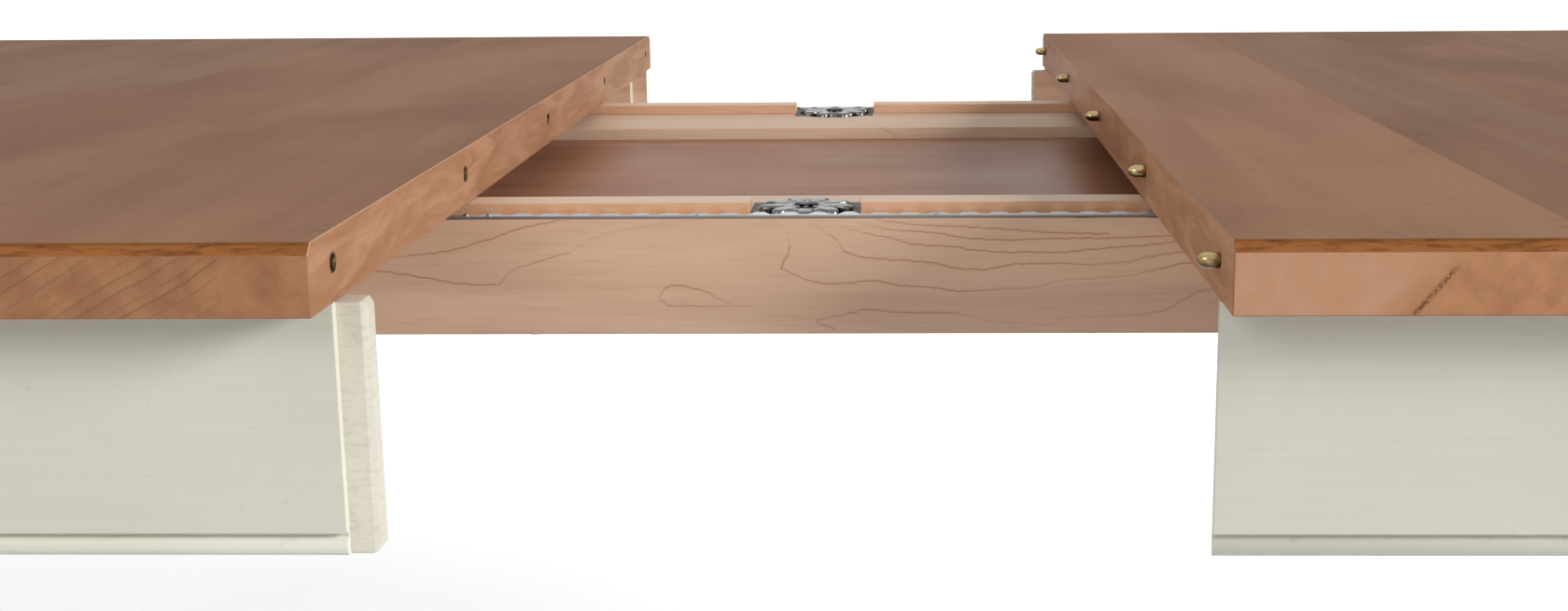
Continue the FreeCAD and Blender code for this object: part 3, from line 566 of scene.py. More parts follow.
def clear_maple(name, finish, seed, line_share=1.0, pale=0.0, warm=0.0, drawn_from=None):
    """Clear-finished maple along X with thin growth lines, as on the slides' rails and strips.

    Warm turns the upright faces to heartwood and leaves the upper face pale sapwood.
    With drawn_from, the height of a rail's lower edge, the outer face gets the drawn growth lines and a
    painted shadow along its lower edge towards the right.
    """
    material, tree, shader = clear_material(name)
    place, (x, _, z), (turn_x, turn_y, turn_z) = place_and_facing(tree)
    board = stretched(tree, place, (1.0, 1.0, 1.0), (seed, seed * 1.7, seed * 0.6))
    figure = grain(tree, board, (2.4, 17.0, 17.0), 4.0, 0.55, 0.9)
    blush = grain(tree, board, (4.5, 16.0, 16.0), 3.0, 0.5, 0.5)
    pores = grain(tree, board, (28.0, 520.0, 520.0), 3.0, 0.6)
    base = blend_colour(tree, span(tree, figure, 0.3, 0.72), finish.maple_dark, finish.maple_light)
    base = blend_colour(tree, span(tree, blush, 0.5, 0.75, 0.0, 0.3), base, finish.maple_blush)
    if pale:
        base = blend_colour(tree, pale, base, finish.maple_pale)
    if warm:
        base = blend_colour(tree, warm, base, finish.maple_warm)
        base = blend_colour(tree, span(tree, turn_z, 0.7, 0.95), base, finish.maple_pale)
    base = blend_colour(tree, span(tree, pores, 0.46, 0.8, 0.0, 0.24), base, MAPLE_PORES)
    # Level lines of a smooth field stretched along the board make the other growth lines
    field = grain(tree, board, (2.2, 6.0, 9.0), 1.0, 0.4, 0.4)
    level = calc(tree, "FRACT", calc(tree, "MULTIPLY", field, 9.0))
    thread = span(tree, calc(tree, "ABSOLUTE", calc(tree, "SUBTRACT", level, 0.5)), 0.035, 0.0)
    broken = span(tree, grain(tree, board, (9.0, 22.0, 22.0), 2.0), 0.4, 0.58, 0.25, 1.0)
    line = calc(tree, "MULTIPLY", thread, broken)
    if drawn_from is not None:
        outer = span(tree, calc(tree, "MULTIPLY", turn_y, -1.0), 0.8, 0.95)
        drawn = calc(tree, "MULTIPLY", drawn_lines(tree, x, z, drawn_from), broken)
        line = add(tree, "ShaderNodeMix", {0: outer, 2: line, 3: drawn}, data_type="FLOAT").outputs[0]
    colour = blend_colour(tree, calc(tree, "MULTIPLY", line, 0.75 * line_share), base, finish.maple_line)
    if drawn_from is not None:
        # Painted shadow of the right top: the lower edge is darker towards the right
        lower = span(tree, z, drawn_from + RAIL_SHADOW_HEIGHT, drawn_from)
        rail_shadow = calc(tree, "MULTIPLY", span(tree, x, RAIL_SHADOW_FROM, RAIL_SHADOW_TO), lower)
        colour = tinted(tree, colour, calc(tree, "MULTIPLY_ADD", rail_shadow, RAIL_SHADOW_DEPTH, 1.0))
    end_mask = span(tree, calc(tree, "ABSOLUTE", turn_x), 0.8, 0.95, 0.0, 0.5)
    colour = blend_colour(tree, end_mask, colour, MAPLE_END)
    feed(tree, shader.inputs["Base Color"], colour)
    feed(tree, shader.inputs["Roughness"], span(tree, figure, 0.2, 0.8, 0.42, 0.54))
    shader.inputs["IOR"].default_value = MAPLE_IOR
    bump(tree, shader, calc(tree, "SUBTRACT", pores, calc(tree, "MULTIPLY", line, 0.4)), 0.1, 0.12 * MM)
    return material


def glossy_leaf(name, finish, seed):
    """Stained leaf under gloss lacquer, its grain along X while it lies folded."""
    material, tree, shader = clear_material(name)
    board = stretched(tree, place_of(tree), (1.0, 1.0, 1.0), (seed, seed * 0.7, 0.0))
    figure = grain(tree, board, (1.6, 15.0, 15.0), 5.0, 0.55, 1.0)
    pores = grain(tree, board, (14.0, 420.0, 420.0), 3.0, 0.6)
    cloud = noise(tree, board, 6.0, 3.0, 0.5, 0.5)
    colour = blend_colour(tree, span(tree, figure, 0.28, 0.74), finish.leaf_dark, finish.leaf_light)
    colour = blend_colour(tree, span(tree, cloud, 0.4, 0.75, 0.0, 0.3), colour, LEAF_CLOUD)
    colour = blend_colour(tree, span(tree, pores, 0.5, 0.8, 0.0, 0.3), colour, LEAF_PORES)
    feed(tree, shader.inputs["Base Color"], colour)
    feed(tree, shader.inputs["Roughness"], span(tree, cloud, 0.3, 0.7, 0.27, 0.35))
    shader.inputs["IOR"].default_value = LEAF_IOR
    bump(tree, shader, calc(tree, "ADD", pores, cloud), 0.05, 0.12 * MM)
    return material


def painted_wood(name, colour, bare_axis=None, grain_and_nose_shade=0.0):
    """Brushed off-white paint, on all faces or on all but those that look in to the table's middle.

    The bare axis is the direction in which a piece is thin. Its face that looks inwards stays bare wood.
    Grain and nose shade is how much the wood's texture shows through a thin coat; any amount also paints
    shade on the nose.
    """
    material, tree, shader = clear_material(name)
    place, spot, facing = place_and_facing(tree)
    brushing = (300.0, 5.0, 300.0) if bare_axis == "X" else (5.0, 300.0, 300.0)
    brush = grain(tree, place, brushing, 3.0, 0.6)
    mottle = noise(tree, place, 8.0, 4.0, 0.55, 0.4)
    speck = noise(tree, place, 320.0, 2.0)
    paint = tuple(colour)
    coat = blend_colour(tree, span(tree, mottle, 0.35, 0.68), cast(paint, GREEN_CAST), paint)
    patches = span(tree, noise(tree, place, 17.0, 2.0), 0.45, 0.7, 0.0, 0.5)
    coat = blend_colour(tree, patches, coat, cast(paint, WARM_CAST))
    coat = blend_colour(tree, span(tree, brush, 0.46, 0.78, 0.0, 0.16), coat, BRUSH_SHADE)
    coat = blend_colour(tree, span(tree, speck, 0.68, 0.8, 0.0, 0.25), coat, PAINT_SPECK)
    if grain_and_nose_shade:
        fleck = grain(tree, place, (130.0, 130.0, 420.0), 4.0, 0.65)
        coat = blend_colour(tree, span(tree, fleck, 0.45, 0.75, 0.0, 0.5 * grain_and_nose_shade), coat, RAISED_GRAIN)
        brush = calc(tree, "MULTIPLY_ADD", fleck, 2.0 * grain_and_nose_shade, brush)
        # Painted shade on the nose: its faces that look along X are darker
        coat = tinted(tree, coat, span(tree, calc(tree, "ABSOLUTE", facing[0]), 0.25, 0.6, 1.0, NOSE_PAINTED_SHADE))
    # Rubbed edges let a little wood through
    thin = span(tree, noise(tree, place, 60.0, 3.0), 0.6, 0.74)
    worn = calc(tree, "MULTIPLY", eased_edge(tree, facing), thin)
    coat = blend_colour(tree, calc(tree, "MULTIPLY", worn, 0.35), coat, WORN_PAINT)
    rough = span(tree, mottle, 0.3, 0.7, 0.36, 0.46)
    if bare_axis:
        index = "XYZ".index(bare_axis)
        inward = calc(tree, "MULTIPLY", calc(tree, "SIGN", spot[index]), facing[index])
        bare = span(tree, inward, -0.8, -0.95)
        figure = noise(tree, stretched(tree, place, brushing), 0.3, 4.0, 0.6, 0.5)
        coat = blend_colour(tree, bare, coat,
                            blend_colour(tree, span(tree, figure, 0.3, 0.7), BARE_DARK, BARE_LIGHT))
        rough = calc(tree, "MULTIPLY_ADD", bare, 0.2, rough)
    feed(tree, shader.inputs["Base Color"], coat)
    feed(tree, shader.inputs["Roughness"], rough)
    shader.inputs["IOR"].default_value = PAINT_IOR
    bump(tree, shader, calc(tree, "MULTIPLY_ADD", speck, 0.4, brush), 0.1, 0.12 * MM)
    return material


def bare_hardwood(name):
    """Sanded wood of the hidden blocks, cleats and bearers."""
    material, tree, shader = clear_material(name)
    place = place_of(tree)
    figure = grain(tree, place, (2.0, 18.0, 18.0), 4.0, 0.55, 0.8)
    pores = grain(tree, place, (14.0, 420.0, 420.0), 3.0, 0.6)
    colour = blend_colour(tree, span(tree, figure, 0.3, 0.72), HIDDEN_DARK, HIDDEN_LIGHT)
    colour = blend_colour(tree, span(tree, pores, 0.5, 0.8, 0.0, 0.3), colour, HIDDEN_PORES)
    feed(tree, shader.inputs["Base Color"], colour)
    feed(tree, shader.inputs["Roughness"], span(tree, figure, 0.2, 0.8, 0.6, 0.75))
    bump(tree, shader, pores, 0.2, 0.2 * MM)
    return material


# Metals and plastic

GLIDE_DARK = (0.035, 0.03, 0.027)
GLIDE_SCUFF = (0.09, 0.08, 0.07)
CUT_EDGE_TONE = 0.35


def metal(name, colour, rough_low, rough_high, brushed, tarnish, cut_edges=False, shade_below=1.0):
    """Metal with fine scratches along X, small stains and uneven polish.

    Cut edges are the dull front and rear edges of sheet metal.
    Shade below is the share of colour that is left on faces that look down: painted shade on undersides.
    """
    material, tree, shader = clear_material(name)
    place, _, facing = place_and_facing(tree)
    scratch = grain(tree, place, (60.0, 1800.0, 1800.0), 2.0, 0.6)
    stain = noise(tree, place, 150.0, 4.0, 0.6, 0.5)
    base = blend_colour(tree, span(tree, stain, 0.42, 0.7), colour, cast(colour, tarnish))
    if cut_edges:
        sheared = span(tree, calc(tree, "ABSOLUTE", facing[1]), 0.3, 0.7)
        base = blend_colour(tree, sheared, base, toned(colour, CUT_EDGE_TONE))
    # Painted shade: faces that look down are darker
    if shade_below < 1.0:
        base = tinted(tree, base, span(tree, facing[2], -0.7, 0.5, shade_below, 1.0))
    feed(tree, shader.inputs["Base Color"], base)
    polish = span(tree, stain, 0.3, 0.7, rough_low, rough_high)
    feed(tree, shader.inputs["Roughness"], calc(tree, "MULTIPLY_ADD", scratch, 0.15 * brushed, polish))
    shader.inputs["Metallic"].default_value = 1.0
    bump(tree, shader, scratch, 0.15 * brushed, 0.05 * MM)
    return material


def glide_plastic(name):
    """Scuffed dark plastic of the floor glides."""
    material, tree, shader = clear_material(name)
    place = place_of(tree)
    scuff = noise(tree, place, 180.0, 4.0, 0.6, 0.3)
    grit = noise(tree, place, 900.0, 2.0)
    colour = blend_colour(tree, span(tree, scuff, 0.4, 0.75), GLIDE_DARK, GLIDE_SCUFF)
    feed(tree, shader.inputs["Base Color"], colour)
    feed(tree, shader.inputs["Roughness"], span(tree, scuff, 0.3, 0.7, 0.45, 0.7))
    bump(tree, shader, grit, 0.2, 0.1 * MM)
    return material


# Shared steps

WELD_REACH = 0.01 * MM
EASE_STEPS = 2
SHARP_EDGE = math.radians(35)
SHARP_CREASE = math.radians(40)
TURNED_STEPS = 32


def dress(node_name, material):
    """Give a CAD node a finish."""
    for slot in frame["nodes"][node_name].material_slots:
        slot.material = material


def ease_edges(node_name, width):
    """Join a node's split corners and round its sharp edges."""
    node = frame["nodes"][node_name]
    weld = node.modifiers.new("join_corners", "WELD")
    weld.merge_threshold = WELD_REACH
    ease = node.modifiers.new("ease_edges", "BEVEL")
    ease.width = width
    ease.segments = EASE_STEPS
    ease.limit_method = "ANGLE"
    ease.angle_limit = SHARP_EDGE
    ease.use_clamp_overlap = True
    ease.harden_normals = True


def settings():
    """The finishes as they are set."""
    return bpy.context.scene.leaf_table_finishes


def turned(mesh, profile, foot, axis, steps=TURNED_STEPS):
    """Add a turned form to a bmesh: (reach, radius) pairs along an axis that starts at foot."""
    axis = Vector(axis).normalized()
    side = axis.orthogonal().normalized()
    other = axis.cross(side)
    rings = []
    for reach, radius in profile:
        centre = Vector(foot) + axis * reach
        if radius == 0:
            rings.append([mesh.verts.new(centre)])
            continue
        ring = []
        for step in range(steps):
            angle = 2 * math.pi * step / steps
            ring.append(mesh.verts.new(centre + (side * math.cos(angle) + other * math.sin(angle)) * radius))
        rings.append(ring)
    for low, high in zip(rings, rings[1:]):
        for step in range(steps):
            following = (step + 1) % steps
            corners = [low[step % len(low)], low[following % len(low)],
                       high[following % len(high)], high[step % len(high)]]
            unique = list(dict.fromkeys(corners))
            if len(unique) > 2:
                mesh.faces.new(unique)


def finished_piece(name, mesh, material, body, stands_for=None):
    """Turn a bmesh into a smooth piece that rides a body."""
    bmesh.ops.recalc_face_normals(mesh, faces=mesh.faces)
    data = bpy.data.meshes.new(name)
    mesh.to_mesh(data)
    mesh.free()
    data.materials.append(material)
    data.shade_smooth()
    data.set_sharp_from_angle(angle=SHARP_CREASE)
    piece = bpy.data.objects.new(name, data)
    bpy.context.collection.objects.link(piece)
    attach(piece, body)
    if stands_for:
        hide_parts(stands_for)


# Operators, one for each group of pieces


class LEAFTABLE_OT_tops(bpy.types.Operator):
    """Stain and ease the two halves of the top"""

    bl_idname = "leaf_table.tops"
    bl_label = "Tops"

    # Glue joints, in order along X, as reaches from the gap's edge in millimetres
    JOINTS = {
        "right": (150, 262, 371, 497, 610),
        "left": (655, 560, 433, 300, 172, 38),
    }
    TONES = {
        "right": (1.04, 0.8, 0.88, 0.82, 0.9, 0.84),
        "left": (0.84, 0.95, 0.84, 0.92, 0.97, 1.0, 1.0),
    }
    # Slope of the growth rings on each plank's end, how plainly they show, and tone
    ENDS = {
        "right": ((0.9, 0.12, 1.3), (0.7, 0.3, 1.12), (-0.5, 0.4, 1.1), (0.4, 0.4, 1.0), (-0.9, 0.3, 1.08),
                  (0.6, 0.4, 1.0)),
        "left": ((0.5, 0.5, 0.95), (-0.7, 0.4, 1.0), (0.3, 0.5, 0.92), (-0.5, 0.4, 1.0), (-0.3, 0.5, 0.9),
                 (0.6, 0.6, 1.06), (-0.8, 0.12, 1.06)),
    }
    # Painted light: tones of the long edges at the middle and the rear, set per half for how light falls on
    # them
    SIDE_LIGHT_TONES = {"right": (1.14, 0.66), "left": (0.84, 0.74)}
    # Lower and upper end of a streak on the end grain, as (x, z) in metres
    STREAKS = {"right": ((0.263, 0.729), (0.283, 0.753)), "left": None}

    def execute(self, context):
        finish = settings()
        gap_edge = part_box("right_top")[0].x
        for half, outward in zip(HALVES, (-1, 1)):
            joints = [outward * (gap_edge + reach * MM) for reach in self.JOINTS[half]]
            stain = stained_top(half + "_top_stain", finish, joints, self.TONES[half], self.ENDS[half],
                                self.SIDE_LIGHT_TONES[half], gap_edge, self.STREAKS[half])
            dress(half + "_top", stain)
            ease_edges(half + "_top", finish.edge_ease)
        return {"FINISHED"}


class LEAFTABLE_OT_aprons(bpy.types.Operator):
    """Paint the aprons, tongues and legs"""

    bl_idname = "leaf_table.aprons"
    bl_label = "Aprons and legs"

    def execute(self, context):
        finish = settings()
        long_paint = painted_wood("apron_paint", finish.paint, "Y")
        end_paint = painted_wood("end_apron_paint", finish.paint, "X")
        full_paint = painted_wood("leg_paint", finish.paint)
        tongue_paint = painted_wood("tongue_paint", finish.tongue_paint, "Y", 1.0)
        for half in HALVES:
            for side in SIDES:
                dress(f"{half}_{side}_apron", long_paint)
                dress(f"{half}_{side}_leg", full_paint)
                ease_edges(f"{half}_{side}_apron", finish.edge_ease / 2)
                ease_edges(f"{half}_{side}_leg", finish.edge_ease * 2)
            dress(f"{half}_end_apron", end_paint)
            ease_edges(f"{half}_end_apron", finish.edge_ease / 2)
        for tongue in ("left_front_tongue", "right_rear_tongue"):
            dress(tongue, tongue_paint)
            ease_edges(tongue, finish.edge_ease)
        return {"FINISHED"}


class LEAFTABLE_OT_slides(bpy.types.Operator):
    """Finish the maple slides and the wood hidden below the tops"""

    bl_idname = "leaf_table.slides"
    bl_label = "Slides"

    def execute(self, context):
        finish = settings()
        hidden = bare_hardwood("hidden_hardwood")
        # The number after the finish picks a board's own figure
        for number, side in enumerate(SIDES):
            lower_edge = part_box(f"{side}_outer_rail")[0].z if side == "front" else None
            rail = clear_maple(f"{side}_rail_maple", finish, 3.1 + number * 2.3, drawn_from=lower_edge)
            flange = clear_maple(f"{side}_flange_maple", finish, 7.9 + number * 1.7, 0.3, 0.6)
            strip = clear_maple(f"{side}_strip_maple", finish, 11.3 + number * 2.9, 0.15,
                                warm=0.75 - number * 0.35)
            dress(f"{side}_outer_rail", rail)
            dress(f"{side}_inner_rail", flange)
            dress(f"{side}_keeper", flange)
            for half in HALVES:
                dress(f"{side}_{half}_strip", strip)
                dress(f"{half}_{side}_slide_bar", flange)
                dress(f"{half}_{side}_hanger_block", hidden)
                ease_edges(f"{side}_{half}_strip", finish.edge_ease / 2)
                ease_edges(f"{half}_{side}_slide_bar", finish.edge_ease)
                ease_edges(f"{half}_{side}_hanger_block", finish.edge_ease)
            for piece in ("outer_rail", "inner_rail", "keeper"):
                ease_edges(f"{side}_{piece}", finish.edge_ease / 2)
        for node in ("left_cleats", "right_cleats", "left_corner_blocks", "right_corner_blocks",
                     "leaf_bearers"):
            dress(node, hidden)
            ease_edges(node, finish.edge_ease)
        return {"FINISHED"}


class LEAFTABLE_OT_leaf(bpy.types.Operator):
    """Lacquer the stored leaf and finish its hinges"""

    bl_idname = "leaf_table.leaf"
    bl_label = "Stored leaf"

    def execute(self, context):
        finish = settings()
        dress("leaf_upper_panel", glossy_leaf("upper_leaf_lacquer", finish, 1.3))
        dress("leaf_lower_panel", glossy_leaf("lower_leaf_lacquer", finish, 5.9))
        brass = metal("hinge_brass", finish.brass, 0.26, 0.42, 1.0, (0.7, 0.66, 0.6))
        for node in ("leaf_upper_panel", "leaf_lower_panel"):
            ease_edges(node, finish.edge_ease)
        for node in ("leaf_hinge_plates", "leaf_hinge_pins"):
            dress(node, brass)
        return {"FINISHED"}


class LEAFTABLE_OT_gears(bpy.types.Operator):
    """Form the stamped equalizer gears and the rivets they turn on"""

    bl_idname = "leaf_table.gears"
    bl_label = "Equalizer gears"

    TEETH = 9
    ROOT = 20.1 * MM
    TIP = 27.4 * MM
    LOBE_HALF_ANGLE = math.radians(10.8)
    LOBE_POWER = 2.3
    BORE = 4.1 * MM
    FLAT_DEPTH = 1.4 * MM
    UNDER_CLEARANCE = 0.3 * MM
    ROLL = 3.2 * MM
    RINGS = 36
    STEPS = TEETH * 28

    # Heights, depths, places and widths on the stamped face, in millimetres; a crease's width is a share
    FACE_RISE = 0.85
    RIM_DROP = 1.7
    CREASE_DEPTH = 0.55
    CREASE_WIDTH = 0.22
    CREASE_START = 10.0
    CREASE_GROWTH = 5.0
    RING_DEPTH = 0.5
    RING_PLACE = 10.5
    RING_WIDTH = 2.6
    STAR_RISE = 0.55
    STAR_PLACE = 5.5
    STAR_WIDTH = 2.2

    # Rivet head from its collar up to the nub in its dimple, as (depth under the top, radius) in millimetres
    HEAD = ((3.0, 3.0), (3.0, 4.0), (1.9, 4.0), (1.9, 6.2), (1.5, 6.5), (1.0, 6.2), (0.5, 5.2), (0.35, 3.6),
            (0.9, 2.7), (1.0, 1.2), (0.2, 0.9), (0.0, 0.0))
    SHANK = 3.0 * MM

    BED_STEPS = 24
    BED_HALF = 19.2 * MM
    BED_HOLE = 28.2 * MM
    BED_THICK = 0.25 * MM
    BED_GAP = 0.3 * MM

    def axis_of(self, side):
        """A point on the gear's axis: its pivot is round, while nine teeth stand unevenly in their box."""
        low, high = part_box(f"{side}_gear_pivot")
        return (low + high) / 2

    def outline(self, from_lobe):
        """Radius of the gear at an angle from the nearest lobe's middle."""
        part = min(1.0, abs(from_lobe) / self.LOBE_HALF_ANGLE)
        return self.ROOT + (self.TIP - self.ROOT) * (1 - part ** self.LOBE_POWER) ** (1 / self.LOBE_POWER)

    def rise(self, radius, outline, from_lobe):
        """Height of the stamped face over its flat: rolled rim, creases between lobes, sunk ring and star."""
        reach = radius / MM
        half_pitch = math.pi / self.TEETH
        rim = min(1.0, (outline - radius) / self.ROLL)
        drop = self.RIM_DROP * (1 - math.sqrt(max(0.0, 1 - (1 - rim) ** 2)))
        groove = (half_pitch - abs(from_lobe)) / half_pitch
        grown = max(0.0, min(1.0, (reach - self.CREASE_START) / self.CREASE_GROWTH))
        crease = self.CREASE_DEPTH * math.exp(-(groove / self.CREASE_WIDTH) ** 2) * grown
        ring = self.RING_DEPTH * math.exp(-((reach - self.RING_PLACE) / self.RING_WIDTH) ** 2)
        star = self.STAR_RISE * math.exp(-((reach - self.STAR_PLACE) / self.STAR_WIDTH) ** 2)
        star *= math.cos(self.TEETH * from_lobe)
        return (self.FACE_RISE + star - drop - crease - ring) * MM

    def gear(self, side, material):
        """The stamped gear, in rings from its bore to its rim and closed underneath."""
        node = f"{side}_equalizer_gear"
        low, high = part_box(node)
        centre = self.axis_of(side)
        flat = high.z - self.FLAT_DEPTH
        first = -math.pi / 2 if side == "front" else math.pi / 2
        pitch = 2 * math.pi / self.TEETH
        mesh = bmesh.new()
        rings = []
        for ring in range(self.RINGS + 1):
            verts = []
            for step in range(self.STEPS):
                turn = 2 * math.pi * step / self.STEPS
                from_lobe = (turn + pitch / 2) % pitch - pitch / 2
                outline = self.outline(from_lobe)
                radius = self.BORE + (outline - self.BORE) * (ring / self.RINGS)
                height = flat + self.rise(radius, outline, from_lobe)
                verts.append(mesh.verts.new((centre.x + radius * math.cos(turn + first),
                                             centre.y + radius * math.sin(turn + first), height)))
            rings.append(verts)
        under = low.z + self.UNDER_CLEARANCE
        for ring in (rings[-1], rings[0]):
            rings.append([mesh.verts.new((vert.co.x, vert.co.y, under)) for vert in ring])
        for inner, outer in zip(rings, rings[1:] + rings[:1]):
            for step in range(self.STEPS):
                following = (step + 1) % self.STEPS
                mesh.faces.new((inner[step], outer[step], outer[following], inner[following]))
        finished_piece(f"{side}_gear_rosette", mesh, material, f"{side}_gear", node)

    def rivet(self, side, material):
        """The pivot with its turned head."""
        node = f"{side}_gear_pivot"
        low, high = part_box(node)
        centre = self.axis_of(side)
        top = high.z - low.z
        profile = [(0, 0), (0, self.SHANK)] + [(top - depth * MM, radius * MM) for depth, radius in self.HEAD]
        mesh = bmesh.new()
        turned(mesh, profile, (centre.x, centre.y, low.z), (0, 0, 1))
        finished_piece(f"{side}_gear_rivet", mesh, material, "center_frame", node)

    def bed(self, side, material):
        """Thin steel wings on the rail, at both ends of the gear's pocket."""
        centre = self.axis_of(side)
        rail_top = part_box(f"{side}_outer_rail")[1].z
        reach = abs(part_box(f"{side}_right_strip")[0].x) - self.BED_GAP
        mesh = bmesh.new()
        for end in (-1, 1):
            rows = []
            for step in range(self.BED_STEPS + 1):
                across = self.BED_HALF * (2 * step / self.BED_STEPS - 1)
                inside = math.sqrt(self.BED_HOLE ** 2 - across ** 2)
                corners = ((inside, 0), (inside, self.BED_THICK), (reach, self.BED_THICK), (reach, 0))
                rows.append([mesh.verts.new((centre.x + end * along, centre.y + across, rail_top + rise))
                             for along, rise in corners])
            for row, following in zip(rows, rows[1:]):
                for corner in range(4):
                    after = (corner + 1) % 4
                    mesh.faces.new((row[corner], row[after], following[after], following[corner]))
            mesh.faces.new(rows[0])
            mesh.faces.new(rows[-1])
        finished_piece(f"{side}_gear_bed", mesh, material, "center_frame")

    def execute(self, context):
        finish = settings()
        plating = metal("gear_plating", finish.plating, 0.1, 0.2, 0.3, (0.62, 0.62, 0.63))
        # Steel made nearly black: painted shade at both ends of the gear's pocket
        bed = metal("gear_bed_shaded_steel", toned(finish.steel, 0.12), 0.4, 0.55, 0.6, (0.6, 0.6, 0.6))
        for side in SIDES:
            self.gear(side, plating)
            self.rivet(side, plating)
            self.bed(side, bed)
        return {"FINISHED"}


class LEAFTABLE_OT_racks(bpy.types.Operator):
    """Finish the steel racks and set the small rivets along them"""

    bl_idname = "leaf_table.racks"
    bl_label = "Racks"

    # Places along X, and one rivet as (height, radius), in millimetres
    RIVETS = (-190.0, -177.0, -59.0, 74.0, 260.0, 420.0)
    RIVET = ((0.0, 1.9), (0.35, 1.9), (0.8, 1.5), (1.05, 0.8), (1.1, 0.0))
    RIVET_STEPS = 20
    INSET = 2.2 * MM

    def execute(self, context):
        finish = settings()
        sheet = toned(finish.steel, 1.5)
        steel = metal("rack_steel", sheet, 0.42, 0.55, 0.3, (0.8, 0.8, 0.8), cut_edges=True)
        bright = metal("rivet_plating", finish.steel, 0.14, 0.25, 0.4, (0.7, 0.7, 0.7))
        profile = [(height * MM, radius * MM) for height, radius in self.RIVET]
        for side in SIDES:
            dress(f"right_{side}_outer_rack", steel)
            dress(f"left_{side}_inner_rack", steel)
            low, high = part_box(f"right_{side}_outer_rack")
            spine = low.y + self.INSET if side == "front" else high.y - self.INSET
            mesh = bmesh.new()
            for reach in self.RIVETS:
                turned(mesh, profile, (reach * MM, spine, high.z), (0, 0, 1), self.RIVET_STEPS)
            finished_piece(f"{side}_rack_rivets", mesh, bright, "right_half")
        return {"FINISHED"}


class LEAFTABLE_OT_pins(bpy.types.Operator):
    """Turn the alignment pins and their sockets"""

    bl_idname = "leaf_table.pins"
    bl_label = "Alignment pins"

    COUNT = 5
    ROOT_PART = 0.78
    COLLAR_PART = 0.9
    COLLAR = 0.3 * MM
    BORE = 3.7 * MM
    TARNISH = (0.6, 0.55, 0.45)

    def places(self, node, radius):
        """Even places along Y for a node's pins or sockets."""
        low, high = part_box(node)
        first, last = low.y + radius, high.y - radius
        return [first + (last - first) * index / (self.COUNT - 1) for index in range(self.COUNT)]

    def pins(self, edge, height, material):
        """Pins with a bullet nose that stand out of the right top's edge."""
        low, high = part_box("right_alignment_pins")
        reach, radius = edge - low.x, (high.z - low.z) / 2
        root, root_radius = -(high.x - edge), radius * self.ROOT_PART
        profile = [(root, 0), (root, root_radius), (0.0, root_radius), (0.0, radius * self.COLLAR_PART),
                   (self.COLLAR, radius)]
        for angle in (math.radians(step * 10) for step in range(9)):
            profile.append((reach * (0.5 + 0.5 * math.sin(angle)), radius * math.cos(angle)))
        profile.append((reach, 0))
        mesh = bmesh.new()
        for y in self.places("right_alignment_pins", radius):
            turned(mesh, profile, (edge, y, height), (-1, 0, 0))
        finished_piece("alignment_pins", mesh, material, "right_half", "right_alignment_pins")

    def sockets(self, height, material):
        """Bored sockets with a rounded rim, let into the left top's edge."""
        low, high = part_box("left_pin_sockets")
        depth, outer = high.x - low.x, (high.z - low.z) / 2
        # Up the bore, over the rim, down the outside and back to the bore
        profile = [(depth, self.BORE), (0.5 * MM, self.BORE), (0.05 * MM, self.BORE + 0.25 * MM),
                   (0.0, self.BORE + 0.5 * MM), (0.1 * MM, outer), (depth, outer), (depth, self.BORE)]
        mesh = bmesh.new()
        for y in self.places("left_pin_sockets", outer):
            turned(mesh, profile, (high.x, y, height), (-1, 0, 0))
        finished_piece("pin_sockets", mesh, material, "left_half", "left_pin_sockets")

    def execute(self, context):
        finish = settings()
        bright = metal("pin_brass", finish.brass, 0.08, 0.18, 0.3, self.TARNISH, shade_below=0.2)
        # Brass toned down to a third: painted shade inside the deep bores, with darker aged brass on their
        # rims
        aged_and_shaded = metal("socket_brass", toned(finish.brass, 0.3), 0.12, 0.25, 0.3, self.TARNISH)
        low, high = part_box("right_alignment_pins")
        height = (low.z + high.z) / 2
        self.pins(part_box("right_top")[0].x, height, bright)
        self.sockets(height, aged_and_shaded)
        return {"FINISHED"}


class LEAFTABLE_OT_hardware(bpy.types.Operator):
    """Finish the bolts, screws and glides"""

    bl_idname = "leaf_table.hardware"
    bl_label = "Bolts, screws and glides"

    def execute(self, context):
        steel = metal("zinc_steel", settings().steel, 0.3, 0.45, 1.0, (0.72, 0.72, 0.72))
        glide = glide_plastic("glide_plastic")
        for half in HALVES:
            dress(f"{half}_leg_bolts", steel)
            dress(f"{half}_top_screws", steel)
            dress(f"{half}_glides", glide)
        dress("bearer_screws", steel)
        return {"FINISHED"}


WHITE = (1.0, 1.0, 1.0, 1.0)
FLOOR_GREY = (0.86, 0.86, 0.86, 1.0)
# Distances from the table's middle between which the floor's white grows, in metres, and its strength there
GLOW_REACH = (1.6, 4.0)
GLOW_STRENGTH = (0.56, 1.0)


def area_lamp(name, place, target, size, power, in_gloss=True):
    """A rectangular lamp that looks at a target and that the camera doesn't see."""
    lamp = bpy.data.lights.new(name, "AREA")
    lamp.shape = "RECTANGLE"
    lamp.size, lamp.size_y = size
    lamp.energy = power
    holder = bpy.data.objects.new(name, lamp)
    holder.location = place
    holder.visible_camera = False
    holder.visible_glossy = in_gloss
    holder.rotation_euler = (Vector(target) - Vector(place)).to_track_quat("-Z", "Y").to_euler()
    bpy.context.collection.objects.link(holder)


def seen_directly(tree):
    """One for rays of the camera, of gloss and of glass."""
    path = add(tree, "ShaderNodeLightPath")
    seen = calc(tree, "MAXIMUM", path.outputs["Is Camera Ray"], path.outputs["Is Glossy Ray"])
    return calc(tree, "MAXIMUM", seen, path.outputs["Is Transmission Ray"])


